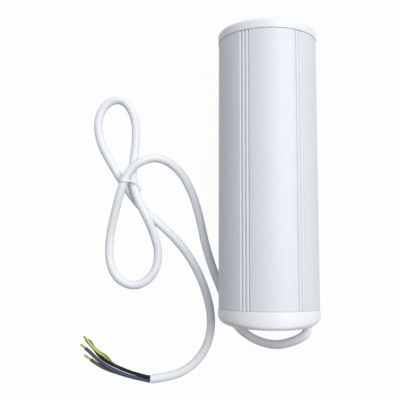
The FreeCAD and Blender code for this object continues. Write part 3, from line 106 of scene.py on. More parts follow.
# How far a cutter starts outside a cap's face, and how far it goes in
CUT_START, CUT_DEPTH = 0.001, 0.005
ROUND_OPENINGS = {"program_button": 0.0031, "light_pipe": 0.00155, "cable_grommet": 0.00455}
SOCKET_GAP, SOCKET_CORNER = 0.0003, 0.0005
HEAD_RADIUS, HEAD_RIM, HEAD_FACE = 0.0028, 0.0025, 0.0021
HEAD_HEIGHT, HEAD_DOME, RIM_HEIGHT = 0.0016, 0.0001, 0.0013
CROSS_LENGTH, CROSS_WIDTH, CROSS_DEPTH = 0.00165, 0.00045, 0.0011
CROSS_END, CROSS_SLOPE = 0.0003, 0.00015
SHANK_RADIUS, SHANK_LENGTH, POINT_RADIUS, POINT_LENGTH = 0.0015, 0.015, 0.0011, 0.001
SLEEVE_TEETH, SLEEVE_RADIUS, SLEEVE_BORE, SLEEVE_EDGE = 8, 0.0072, 0.00502, 0.0006
TOOTH_SWING, TOOTH_STEEPNESS, TOOTH_WIDENING = 0.0008, 1.9, 0.1
BUTTON_RADIUS, STEM_RADIUS, PIPE_RADIUS = 0.0028, 0.0013, 0.0015
BUTTON_FLANGE, BUTTON_SEAT, FLANGE_THICKNESS = 0.004, 0.0023, 0.0012
SPRING_TURNS, SPRING_WIRE = 5, 0.00025
GROMMET_RADIUS, GROMMET_BORE, GROMMET_FLANGE, GROMMET_SEAT = 0.0045, 0.00358, 0.0056, 0.0022
CONTACTS, CONTACT_PITCH, CONTACT_WIDTH, CONTACT_DEPTH = 6, 0.00127, 0.0005, 0.0002
CONTACT_BACK, CONTACT_FRONT, CONTACT_BELOW, CONTACT_DROP = 0.0112, 0.0035, 0.0025, 0.0019
# Half the width of a groove, and how far from a group's middle the outline is finer, both
# as shares of the grooves' pitch
GROOVE_SHARE, FINE_SHARE = 0.36, 1.9

# The routes of the lead and of its four cores: control points of their splines. REST is
# the height of the lead's middle where it lies on the floor

REST = 0.00355
LEAD_ROUTE = [
    (0.0302, -0.1233, 0.036), (0.0302, -0.1273, 0.036), (0.0269, -0.1314, 0.0352),
    (0.0185, -0.1364, 0.0305), (0.006, -0.1404, 0.0215), (-0.009, -0.1374, 0.01),
    (-0.0225, -0.1282, REST), (-0.03, -0.114, REST), (-0.0358, -0.098, REST),
    (-0.0432, -0.08, REST), (-0.0502, -0.058, REST), (-0.0546, -0.036, REST),
    (-0.0612, -0.014, REST), (-0.0725, 0.0056, REST), (-0.0888, 0.0156, 0.00755),
    (-0.1038, 0.012, 0.01275), (-0.1152, 0.0026, 0.01335), (-0.1212, -0.013, 0.01335),
    (-0.1264, -0.032, 0.00855), (-0.1316, -0.054, REST), (-0.1312, -0.076, REST),
    (-0.1224, -0.0906, REST), (-0.1068, -0.095, REST), (-0.0928, -0.0848, REST),
    (-0.0888, -0.0674, REST), (-0.0932, -0.0504, 0.00785), (-0.099, -0.0369, 0.01195),
    (-0.1075, -0.0209, 0.01195), (-0.1127, -0.0055, 0.00695), (-0.1123, 0.0125, REST),
    (-0.1098, 0.032, REST), (-0.1117, 0.053, REST), (-0.1216, 0.0674, REST),
    (-0.1358, 0.0654, REST), (-0.1446, 0.0494, REST), (-0.1416, 0.0285, REST),
    (-0.1298, 0.0075, REST), (-0.117, -0.0124, REST), (-0.1038, -0.0289, REST),
    (-0.0865, -0.0435, REST), (-0.0705, -0.059, REST), (-0.0579, -0.0775, REST),
    (-0.0489, -0.098, REST), (-0.044, -0.12, REST), (-0.0464, -0.141, REST),
    (-0.0573, -0.1576, REST), (-0.075, -0.1683, REST), (-0.0944, -0.1705, REST),
]
CORE_ROUTES = {
    "black": [
        (-0.0952, -0.169, 0.0051), (-0.1026, -0.1672, 0.0049), (-0.1118, -0.16456, 0.00536),
        (-0.1201, -0.16154, 0.00416), (-0.1257, -0.15897, 0.00548), (-0.1314, -0.15641, 0.00449),
        (-0.1364, -0.15366, 0.00227), (-0.1404, -0.1491, 0.00201), (-0.1435, -0.1447, 0.0015),
        (-0.1469, -0.1399, 0.0015),
    ],
    "green_yellow": [
        (-0.0952, -0.169, 0.0021), (-0.09997, -0.16881, 0.00228), (-0.1128, -0.16508, 0.00212),
        (-0.12264, -0.1613, 0.00142), (-0.12793, -0.15831, 0.00156),
        (-0.13113, -0.15357, 0.00208), (-0.13512, -0.15075, 0.00363),
        (-0.13911, -0.1483, 0.00477), (-0.1444, -0.1434, 0.0048), (-0.1489, -0.1381, 0.0048),
    ],
    "blue": [
        (-0.0952, -0.1720, 0.0051), (-0.1034, -0.1702, 0.0049), (-0.1129, -0.1678, 0.0049),
        (-0.1221, -0.1642, 0.0048), (-0.1293, -0.1610, 0.0045), (-0.1351, -0.1581, 0.0032),
        (-0.1408, -0.1540, 0.0017), (-0.1456, -0.1494, 0.0015), (-0.1500, -0.1460, 0.0015),
    ],
    "brown": [
        (-0.0952, -0.1720, 0.0021), (-0.1037, -0.1710, 0.0017), (-0.1133, -0.1688, 0.0015),
        (-0.1225, -0.1660, 0.0015), (-0.1296, -0.1639, 0.0015), (-0.1359, -0.1612, 0.0015),
        (-0.1412, -0.1580, 0.0015), (-0.1453, -0.1552, 0.0015),
    ],
}
# How far the twist of the cores lifts and sinks the jacket, as a share of its radius
RIPPLE = 0.004
# The rings at a cut end of the jacket and of a core: how far beyond the end and within the
# radius each of them lies
JACKET_CUT = ((0.0003, 0.0003), (0.0003, 0.0008), (-0.0012, 0.0009))
CORE_CUT = ((0.0, 0.0004), (-0.0008, 0.0005))
# How far each core is bared, and the radii of its outer strands, of the circle that they
# lie on and of its middle strand. They start inside the insulation, splay by a share of the
# circle, and fall short of each other by steps of a share of their length
BARED = {"black": 0.0015, "green_yellow": 0.003, "blue": 0.005, "brown": 0.0065}
STRAND_RADIUS, STRAND_CIRCLE, MIDDLE_RADIUS = 0.00027, 0.00068, 0.00046
STRAND_START, STRAND_SPLAY, STRAND_STEP = 0.001, 0.12, 0.03

# The tie: the middles of its two strands across the motor, and its loose end's line. The
# loose end is a share wider than the loop at first, and narrows by another
TIE_PLACE = -0.0062
TIED_STRANDS = ((-0.1186, 0.01335), (-0.11185, 0.0074))
TIE_GAP, TIE_LEAN = 0.00085, 0.0005
TAIL_THICKNESS, TAIL_WIDTH, TAIL_NARROWING = 0.0006, 1.15, 0.35
TIE_TAIL = [
    (-0.1166, -0.0066, 0.0178), (-0.1150, -0.0063, 0.0166), (-0.1127, -0.0064, 0.0149),
    (-0.1101, -0.0073, 0.0129), (-0.1075, -0.0092, 0.0112), (-0.1055, -0.0113, 0.0094),
    (-0.1051, -0.0130, 0.0077), (-0.1062, -0.0137, 0.0066),
]


# Sizes and colours that a user may change


def length(name, default, description):
    return FloatProperty(name=name, default=default, unit="LENGTH", description=description)


def tint(name, default, description):
    return FloatVectorProperty(
        name=name, default=default, subtype="COLOR", size=3, description=description
    )


class HousingSizes(PropertyGroup):
    """Sizes of the tube and its caps."""

    tube_inset: length("Tube inset", 0.00045, "How far the caps stand proud of the tube")
    tube_wall: length("Tube wall", 0.0022, "Wall of the tube")
    cap_wall: length("Cap wall", 0.0024, "Side wall of the caps")
    cap_floor: length("Cap floor", 0.0022, "End wall of the caps")
    top_rounding: length("Top rounding", 0.003, "Rim of the top cap")
    bottom_rounding: length("Bottom rounding", 0.003, "Bottom cap's rim, front and back")
    side_reach: length("Side reach", 0.013, "Bottom cap's rim at its sides, inwards")
    side_rise: length("Side rise", 0.0085, "Bottom cap's rim at its sides, along the motor")
    joint_rounding: length("Joint rounding", 0.00035, "Edge of the caps where the tube starts")
    lower_seam: length("Lower seam", 0.00045, "Width of the step at the bottom cap")
    upper_seam: length("Upper seam", 0.0002, "Width of the step at the top cap")
    seam_depth: length("Seam depth", 0.0007, "Depth of both steps")
    groove_offset: length("Groove offset", 0.0209, "Middle of a group from the centre line")
    groove_pitch: length("Groove pitch", 0.0026, "Spacing of the grooves in a group")
    groove_depth: length("Groove depth", 0.00095, "Depth of a groove")
    port_x: length("Screw port sideways", 0.027, "Screw ports from the centre line, sideways")
    port_y: length("Screw port in depth", 0.013, "Screw ports from the middle plane")


class LeadSizes(PropertyGroup):
    """Sizes of the mains lead, its cores and its tie."""

    diameter: length("Lead", 0.007, "Outside diameter of the jacket")
    core_diameter: length("Core", 0.0028, "Diameter of an insulated core")
    lay_of_cores: length("Lay of the cores", 0.06, "Length in which the cores make a turn")
    lay_of_stripes: length("Lay of the stripes", 0.05, "Length in which the stripes do")
    lay_of_strands: length("Lay of the strands", 0.009, "Length in which bared strands do")
    strands: IntProperty(name="Strands", default=9, description="Outer strands of a bared end")
    tie_width: length("Tie", 0.0016, "Width of the tie")
    tie_thickness: length("Tie thickness", 0.0005, "Thickness of the tie's loop")


class Colours(PropertyGroup):
    """Colours of what shows."""

    caps: tint("Caps", (0.835, 0.842, 0.85), "White plastic of the caps")
    tube: tint("Tube", (0.70, 0.727, 0.75), "Anodised aluminium")
    jacket: tint("Jacket", (0.88, 0.90, 0.915), "Jacket of the lead")
    black: tint("Black core", (0.006, 0.008, 0.012), "Insulation of the black core")
    green: tint("Green stripe", (0.14, 0.17, 0.02), "Green stripes of the earth core")
    yellow: tint("Yellow stripe", (0.49, 0.54, 0.07), "Yellow stripes of the earth core")
    blue: tint("Blue core", (0.045, 0.075, 0.14), "Insulation of the blue core")
    brown: tint("Brown core", (0.12, 0.085, 0.03), "Insulation of the brown core")


class MotorSettings(PropertyGroup):
    """All sizes and colours."""

    housing: PointerProperty(type=HousingSizes)
    lead: PointerProperty(type=LeadSizes)
    colours: PointerProperty(type=Colours)


def settings():
    return bpy.context.scene.curtain_motor


# Materials


class Wire:
    """An output of a node, which adds Math nodes when it is reckoned with."""

    def __init__(self, wiring, socket):
        self.wiring = wiring
        self.socket = socket

    def __add__(self, other):
        return self.wiring.maths("ADD", self, other)

    __radd__ = __add__

    def __sub__(self, other):
        return self.wiring.maths("SUBTRACT", self, other)

    def __rsub__(self, other):
        return self.wiring.maths("SUBTRACT", other, self)

    def __mul__(self, other):
        return self.wiring.maths("MULTIPLY", self, other)

    __rmul__ = __mul__

    def __gt__(self, other):
        return self.wiring.maths("GREATER_THAN", self, other)


class Wiring:
    """The nodes of a material or of the world."""

    def __init__(self, tree):
        self.tree = tree

    def feed(self, socket, value):
        if isinstance(value, Wire):
            self.tree.links.new(value.socket, socket)
        else:
            socket.default_value = value

    def node(self, kind, choices, values, output=0):
        """Adds a node: its choices are set first, then its sockets' values or links."""
        made = self.tree.nodes.new("ShaderNode" + kind)
        for name, value in choices.items():
            setattr(made, name, value)
        for name, value in values.items():
            self.feed(made.inputs[name], value)
        return Wire(self, made.outputs[output])

    def maths(self, operation, *values):
        return self.node("Math", {"operation": operation}, dict(enumerate(values)))

    def seen(self):
        """1 for what the camera sees straight, in a gloss or through something clear."""
        rays = [
            self.node("LightPath", {}, {}, f"Is {kind} Ray")
            for kind in ("Camera", "Glossy", "Transmission")
        ]
        return self.maths("MINIMUM", rays[0] + rays[1] + rays[2], 1.0)


class Finish(Wiring):
    """A material: its principled shader, and the nodes that feed it."""

    def __init__(self, name, **constants):
        self.material = bpy.data.materials.new(name)
        self.material.use_nodes = True
        super().__init__(self.material.node_tree)
        self.shader = self.tree.nodes["Principled BSDF"]
        for name, value in constants.items():
            self.shader.inputs[name.replace("_", " ")].default_value = value

    def place(self):
        return self.node("TexCoord", {}, {}, "Object")

    def noise(self, scale, detail=2.0, stretch=(1, 1, 1)):
        """Noise of a number of cells in a metre, centred on zero. A stretch scales the
        Object coordinates along each axis first."""
        vector = self.node("Mapping", {}, {"Vector": self.place(), "Scale": stretch})
        values = {"Vector": vector, "Scale": scale, "Detail": detail}
        return self.node("TexNoise", {}, values) - 0.5

    def mix(self, share, first, second):
        """A colour between two colours."""
        values = {0: share, 6: opaque(first), 7: opaque(second)}
        return self.node("Mix", {"data_type": "RGBA"}, values, 2)

    def made(self, colour, roughness, height=None, distance=0.0, strength=0.5):
        """The finished material. A height of 0 to 1 times a distance in metres bumps it."""
        self.feed(self.shader.inputs["Base Color"], opaque(colour))
        self.feed(self.shader.inputs["Roughness"], roughness)
        if height is not None:
            relief = {"Height": height, "Distance": distance, "Strength": strength}
            self.feed(self.shader.inputs["Normal"], self.node("Bump", {}, relief))
        return self.material


def opaque(colour):
    if isinstance(colour, Wire):
        return colour
    return (*colour, 1.0)


def shade(colour, share):
    return tuple(min(channel * share, 1.0) for channel in colour)


def moulded(name, colour, roughness=0.42, grain=900.0, depth=0.00003, spread=0.03):
    """Moulded plastic: a fine even grain, and a very slight drift of its colour."""
    finish = Finish(name)
    drift = finish.noise(30.0, 3.0) + 0.5
    fine = finish.noise(grain, 2.0)
    tones = finish.mix(drift, shade(colour, 1 - spread), shade(colour, 1 + spread))
    return finish.made(tones, roughness + 0.12 * fine, fine, depth, 0.6)


def metal(name, colour, roughness, stretch=(1, 1, 1), scale=600.0):
    """Bare metal: streaks along its working direction, and worn spots of another gloss."""
    finish = Finish(name, Metallic=1.0)
    streaks = finish.noise(scale, 3.0, stretch)
    wear = finish.noise(90.0, 3.0)
    tones = finish.mix(wear + 0.5, shade(colour, 0.88), shade(colour, 1.06))
    return finish.made(tones, roughness + 0.25 * streaks + 0.1 * wear, streaks, 0.00002)


def anodised(name, colour):
    """Satin anodised aluminium with the faint lines of its extrusion along the tube."""
    finish = Finish(name, Metallic=0.1, Specular_IOR_Level=0.3)
    lines = finish.noise(1.0, 3.0, (2600.0, 6.0, 2600.0))
    cloud = finish.noise(14.0, 2.0, (1.0, 0.3, 1.0))
    drift = 0.5 + 0.35 * lines + 0.5 * cloud
    tones = finish.mix(drift, shade(colour, 0.97), shade(colour, 1.03))
    return finish.made(tones, 0.55 + 0.1 * lines, lines, 0.000012)


def jacket(name, colour, gloss=0.3):
    """Soft cable jacket: a little unevenness, fine pores and faint handling marks."""
    finish = Finish(name, Specular_IOR_Level=gloss)
    marks = finish.noise(60.0, 3.0)
    pores = finish.noise(1500.0, 2.0)
    tones = finish.mix(marks + 0.5, shade(colour, 0.965), shade(colour, 1.02))
    relief = marks * 0.8 + pores * 0.2
    return finish.made(tones, 0.44 + 0.15 * marks + 0.08 * pores, relief, 0.00004)


def striped(name, green, yellow):
    """Earth core insulation: two green and two yellow stripes that wind along it."""
    finish = Finish(name)
    stripe = finish.node("Attribute", {"attribute_name": "stripe"}, {}, "Fac")
    edge = finish.noise(900.0, 2.0) * 0.3
    tones = finish.mix((stripe + edge) > 0.0, yellow, green)
    roughness = 0.38 + 0.2 * finish.noise(400.0)
    return finish.made(tones, roughness, finish.noise(700.0), 0.00003)


def circuit_board(name):
    """Solder mask over copper tracks, with tinned pads in rows."""
    finish = Finish(name, Coat_Weight=0.3)
    tracks = finish.node(
        "TexBrick", {"offset": 0.5},
        {
            "Vector": finish.place(), "Scale": 220.0, "Mortar Size": 0.045,
            "Color1": (0, 0, 0, 1), "Color2": (0, 0, 0, 1), "Mortar": (1, 1, 1, 1),
        },
        "Fac",
    )
    mask = finish.mix(tracks, (0.012, 0.105, 0.045), (0.03, 0.19, 0.07))
    pads = finish.node(
        "TexVoronoi", {"feature": "F1"}, {"Vector": finish.place(), "Scale": 330.0}, "Distance"
    )
    tones = finish.mix(pads > 0.17, (0.55, 0.53, 0.48), mask)
    return finish.made(tones, 0.3 + 0.1 * finish.noise(300.0), tracks, 0.00004, 0.6)


def banded(name, colour, dark, roughness, bands, look, relief, **constants):
    """Fine even bands, such as wire laid in turns or stacked steel sheets: the bands' own
    settings and values, their darkest share of the colour, and their depth and strength."""
    finish = Finish(name, **constants)
    values = {"Vector": finish.place(), **look}
    wave = finish.node("TexWave", {"wave_type": "BANDS", **bands}, values, "Fac")
    tones = finish.mix(wave, shade(colour, dark), colour)
    return finish.made(tones, roughness + 0.1 * wave, wave, *relief)


def clear_plastic(name):
    """Clear moulded light pipe, faintly frosted."""
    finish = Finish(name, Transmission_Weight=0.7, IOR=1.49)
    tones = finish.mix(finish.noise(80.0) + 0.5, (0.86, 0.9, 0.92), (0.95, 0.97, 0.98))
    return finish.made(tones, 0.18 + 0.1 * finish.noise(500.0))


FINISHES = {}
# Each moulded slot's colour, roughness, cells of grain in a metre and depth of grain
MOULDED = {
    "nylon_gear": ((0.80, 0.77, 0.69), 0.45, 500.0),
    "ferrite": ((0.05, 0.05, 0.055), 0.6, 400.0, 0.0001),
    "carbon": ((0.03, 0.03, 0.033), 0.55, 700.0, 0.0001),
    "black_plastic": ((0.018, 0.018, 0.02), 0.45),
    "grey_plastic": ((0.28, 0.29, 0.31), 0.5),
    "blue_plastic": ((0.02, 0.07, 0.30), 0.35),
    "yellow_tape": ((0.72, 0.50, 0.06), 0.3),
    "capacitor_sleeve": ((0.02, 0.03, 0.09), 0.3),
    "rubber_black": ((0.02, 0.02, 0.02), 0.7, 400.0, 0.0001),
    "rubber_grey": ((0.60, 0.61, 0.63), 0.6, 500.0, 0.00006),
    "tie_white": ((0.88, 0.885, 0.895), 0.28, 700.0),
}
# Each metal slot's colour, roughness, stretch of its streaks and their cells in a metre
METALS = {
    "zinc_steel": ((0.62, 0.63, 0.65), 0.32),
    "tool_steel": ((0.45, 0.46, 0.48), 0.25, (1, 12, 1)),
    "gear_steel": ((0.42, 0.42, 0.43), 0.38),
    "gearbox_alloy": ((0.62, 0.63, 0.65), 0.5, (1, 1, 1), 300.0),
    "can_steel": ((0.68, 0.69, 0.71), 0.28, (1, 14, 1)),
    "bronze": ((0.50, 0.33, 0.17), 0.45),
    "copper": ((0.44, 0.37, 0.12), 0.42),
}


def make_finishes():
    colours = settings().colours
    FINISHES.update({name: moulded(name, *values) for name, values in MOULDED.items()})
    FINISHES.update({name: metal(name, *values) for name, values in METALS.items()})
    FINISHES.update({
        "cap_plastic": moulded("cap_plastic", colours.caps, 0.4, 1300.0, 0.00002, 0.01),
        "tube": anodised("anodised_tube", colours.tube),
        "winding": banded(
            "winding", (0.56, 0.22, 0.08), 0.55, 0.28, {"bands_direction": "DIAGONAL"},
            {"Scale": 900.0, "Distortion": 1.5, "Detail": 1.0}, (0.0002, 0.8),
            Metallic=0.7, Coat_Weight=0.4,
        ),
        "core_steel": banded(
            "core_steel", (0.40, 0.40, 0.42), 0.6, 0.42, {"bands_direction": "Y"},
            {"Scale": 320.0, "Distortion": 0.3}, (0.00008, 0.7), Metallic=0.9,
        ),
        "green_board": circuit_board("green_board"),
        "clear_plastic": clear_plastic("clear_plastic"),
        "cable_white": jacket("cable_white", colours.jacket),
        "core_black": jacket("core_black", colours.black, 0.2),
        "core_green_yellow": striped("core_green_yellow", colours.green, colours.yellow),
        "core_blue": jacket("core_blue", colours.blue),
        "core_brown": jacket("core_brown", colours.brown),
    })


# Surfaces


def link_faces(rows, columns, closed):
    """Quads between neighbours on a grid of points whose rows are rings."""
    index = np.arange(rows * columns).reshape(rows, columns)
    index = np.concatenate([index, index[:, :1]], axis=1)
    if closed:
        index = np.concatenate([index, index[:1]], axis=0)
    corners = (index[:-1, :-1], index[1:, :-1], index[1:, 1:], index[:-1, 1:])
    return np.stack(corners, axis=-1).reshape(-1, 4)


def smooth(mesh, sharp=30.0):
    """Shades a mesh smooth, except at edges that turn by more than an angle in degrees."""
    mesh.shade_smooth()
    mesh.set_sharp_from_angle(angle=math.radians(sharp))
    return mesh


def placed(name, data):
    """A new object in the scene."""
    made = bpy.data.objects.new(name, data)
    bpy.context.scene.collection.objects.link(made)
    return made


class Form:
    """Collects surfaces on grids into one mesh."""

    def __init__(self, name):
        self.name = name
        self.points = []
        self.faces = []
        self.count = 0

    def add(self, grid, closed=False):
        """Adds a grid of points whose rows are rings. In a closed form the last ring meets
        the first, and otherwise a face closes each end."""
        rows, columns = grid.shape[:2]
        self.points.append(grid.reshape(-1, 3))
        self.faces += (link_faces(rows, columns, closed) + self.count).tolist()
        if not closed:
            first = np.arange(columns) + self.count
            last = first + (rows - 1) * columns
            self.faces += [first.tolist(), last[::-1].tolist()]
        self.count += rows * columns
        return self

    def mesh(self, sharp=30.0, stripe=None):
        """Merges what meets, turns the faces outwards, and smooths all but sharp edges. A
        stripe is a value for each point, which the earth core's finish reads."""
        mesh = bpy.data.meshes.new(self.name)
        mesh.from_pydata(np.concatenate(self.points), [], self.faces)
        if stripe is not None:
            marks = mesh.attributes.new("stripe", "FLOAT", "POINT")
            marks.data.foreach_set("value", stripe.ravel())
        work = bmesh.new()
        work.from_mesh(mesh)
        bmesh.ops.remove_doubles(work, verts=work.verts, dist=1e-7)
        bmesh.ops.dissolve_degenerate(work, edges=work.edges, dist=1e-8)
        bmesh.ops.recalc_face_normals(work, faces=work.faces)
        work.to_mesh(mesh)
        work.free()
        return smooth(mesh, sharp)

    def show(self, slot, nodes=(), body="housing", sharp=35.0, stripe=None):
        return piece(self.mesh(sharp, stripe), self.name, slot, nodes, body)


def piece(mesh, name, slot, nodes=(), body="housing"):
    """Shows a mesh as a piece that takes a finish, stands for nodes, and rides on a body if
    one is named."""
    made = placed(name, mesh)
    mesh.materials.append(FINISHES[slot])
    if body:
        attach(made, body)
    if nodes:
        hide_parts(*nodes)
    return made


def carve(mesh, cutters):
    """Takes closed cutters out of a closed mesh."""
    base = placed("carved", mesh)
    tool = placed("cutter", cutters)
    cut = base.modifiers.new("Cut", "BOOLEAN")
    cut.operation = "DIFFERENCE"
    cut.solver = "EXACT"
    cut.use_self = True
    cut.object = tool
    bpy.context.view_layer.update()
    shown = base.evaluated_get(bpy.context.evaluated_depsgraph_get())
    carved = bpy.data.meshes.new_from_object(shown)
    bpy.data.objects.remove(base)
    bpy.data.objects.remove(tool)
    if len(carved.polygons) <= len(mesh.polygons):
        raise RuntimeError(f"{mesh.name} was not cut")
    return smooth(carved)


def turn_angles(count):
    return np.linspace(0.0, 2 * math.pi, count, endpoint=False)


def unit(vectors):
    return vectors / np.linalg.norm(vectors, axis=-1, keepdims=True)


def rings(side, top, count):
    """Unit rings in the planes of two unit vectors: cos a side + sin a top."""
    angles = turn_angles(count)[:, None]
    return np.cos(angles) * side[..., None, :] + np.sin(angles) * top[..., None, :]


def spun(radius, height, x=0.0, z=AXIS_HEIGHT, count=48):
    """A turned form about an axis through x and z: at each step of a profile a ring at that
    height along the motor, of that radius, or of a radius for each of its points."""
    angles = turn_angles(count)
    radius = np.reshape(radius, (len(height), -1))
    y = np.broadcast_to(np.asarray(height)[:, None], (len(height), count))
    return np.stack([x + radius * np.cos(angles), y, z + radius * np.sin(angles)], axis=-1)


def bar(x0, x1, y0, y1, z0, z1, edge):
    """A straight bar along Y: a rectangle with cut corners, carried from y0 to y1."""
    outline = np.array([
        (x0 + edge, z0), (x1 - edge, z0), (x1, z0 + edge), (x1, z1 - edge),
        (x1 - edge, z1), (x0 + edge, z1), (x0, z1 - edge), (x0, z0 + edge),
    ])
    return np.stack([
        np.column_stack([outline[:, 0], np.full(8, y), outline[:, 1]]) for y in (y0, y1)
    ])


def port_places():
    sizes = settings().housing
    return [
        (side * sizes.port_x, AXIS_HEIGHT + level * sizes.port_y)
        for side in (-1, 1) for level in (-1, 1)
    ]


def tube_outline():
    """The tube's oval as points (x, z) about its axis. The front dips by a raised cosine at
    each groove, depth / 2 (1 + cos(pi d / w)) within w of its middle."""
    sizes = settings().housing
    half_width = HALF_WIDTH - sizes.tube_inset
    half_depth = HALF_DEPTH - sizes.tube_inset
    reach = FINE_SHARE * sizes.groove_pitch
    fine = np.concatenate([
        np.linspace(middle - reach, middle + reach, 160)
        for middle in (-sizes.groove_offset, sizes.groove_offset)
    ])
    angles = np.sort(np.concatenate([turn_angles(256), np.arccos(fine / half_width)]))
    x = half_width * np.cos(angles)
    z = half_depth * np.sin(angles)
    middles = [
        side * sizes.groove_offset + step * sizes.groove_pitch
        for side in (-1, 1) for step in (-1, 0, 1)
    ]
    groove = GROOVE_SHARE * sizes.groove_pitch
    away = x[:, None] - np.array(middles)
    wave = np.where(np.abs(away) < groove, 0.5 * (1 + np.cos(np.pi * away / groove)), 0.0)
    depth = sizes.groove_depth * wave.sum(axis=1) * (np.sin(angles) > 0)
    normal = unit(np.column_stack([x / half_width**2, z / half_depth**2]))
    return x - depth * normal[:, 0], z - depth * normal[:, 1]


def extruded(x, z, heights, shrink):
    """An outline carried along Y, drawn in by a little at each height."""
    rows = []
    for y, inwards in zip(heights, shrink):
        scale = 1 - inwards / HALF_DEPTH
        rows.append(np.column_stack([x * scale, np.full(x.shape, y), AXIS_HEIGHT + z * scale]))
    return np.stack(rows)


class CURTAINMOTOR_OT_tube(Operator):
    """Makes the grooved aluminium tube with its screw ports"""

    bl_idname = "curtain_motor.tube"
    bl_label = "Tube"

    def execute(self, context):
        sizes = settings().housing
        form = Form("tube_shell")
        x, z = tube_outline()
        start = TUBE_START + sizes.lower_seam
        end = TUBE_END - sizes.upper_seam
        heights = [TUBE_START, start, start, start + EDGE, end - EDGE, end, end, TUBE_END]
        inwards = [sizes.seam_depth, sizes.seam_depth, EDGE, 0.0]
        outer = extruded(x, z, heights, inwards + inwards[::-1])
        angles = np.arctan2(z / HALF_DEPTH, x / HALF_WIDTH)
        bore_x = (HALF_WIDTH - sizes.tube_inset - sizes.tube_wall) * np.cos(angles)
        bore_z = (HALF_DEPTH - sizes.tube_inset - sizes.tube_wall) * np.sin(angles)
        inner = extruded(bore_x, bore_z, [TUBE_END, TUBE_START], [0.0, 0.0])
        form.add(np.concatenate([outer, inner]), closed=True)
        for port_x, port_z in port_places():
            form.add(spun(
                [PORT_RADIUS, PORT_RADIUS, PORT_BORE, PORT_BORE],
                [TUBE_START, TUBE_END, TUBE_END, TUBE_START], port_x, port_z, 32,
            ), closed=True)
        form.show("tube", ["housing_tube"], sharp=25.0)
        return {"FINISHED"}


def cap_shell(form, front, side_reach, side_rise, outer_face, height, inwards):
    """A closed oval cap, ((a - inset) cos t, y, (b - inset) sin t) about the axis. Its
    profile starts at the middle of its outer face, goes round the rim, a quarter of an
    ellipse, to the small rounding at the tube and back along the inside. The rim's two
    reaches grow with cos t squared from the front to the sides."""
    sizes = settings().housing
    angles = turn_angles(288)
    sideways = np.cos(angles) ** 2
    reach = front + (side_reach - front) * sideways
    rise = front + (side_rise - front) * sideways
    inner_reach = np.maximum(reach - sizes.cap_wall, INNER_ROUNDING)
    inner_rise = np.maximum(rise - sizes.cap_floor, INNER_ROUNDING)
    turn = np.linspace(0.0, math.pi / 2, 14)[:, None]
    small_turn = np.linspace(0.0, math.pi / 2, 5)[:, None]
    level = np.ones_like(angles)
    inset = np.concatenate([
        reach * (1 - np.sin(turn)), sizes.joint_rounding * (1 - np.cos(small_turn)) * level,
        sizes.cap_wall * level[None], sizes.cap_wall + inner_reach * (1 - np.cos(turn)),
    ])
    along = np.concatenate([
        rise * (1 - np.cos(turn)),
        (height - sizes.joint_rounding * (1 - np.sin(small_turn))) * level,
        height * level[None], sizes.cap_floor + inner_rise * (1 - np.sin(turn)),
    ])
    x = (HALF_WIDTH - inset) * np.cos(angles)
    z = AXIS_HEIGHT + (HALF_DEPTH - inset) * np.sin(angles)
    form.add(np.stack([x, outer_face + inwards * along, z], axis=-1))


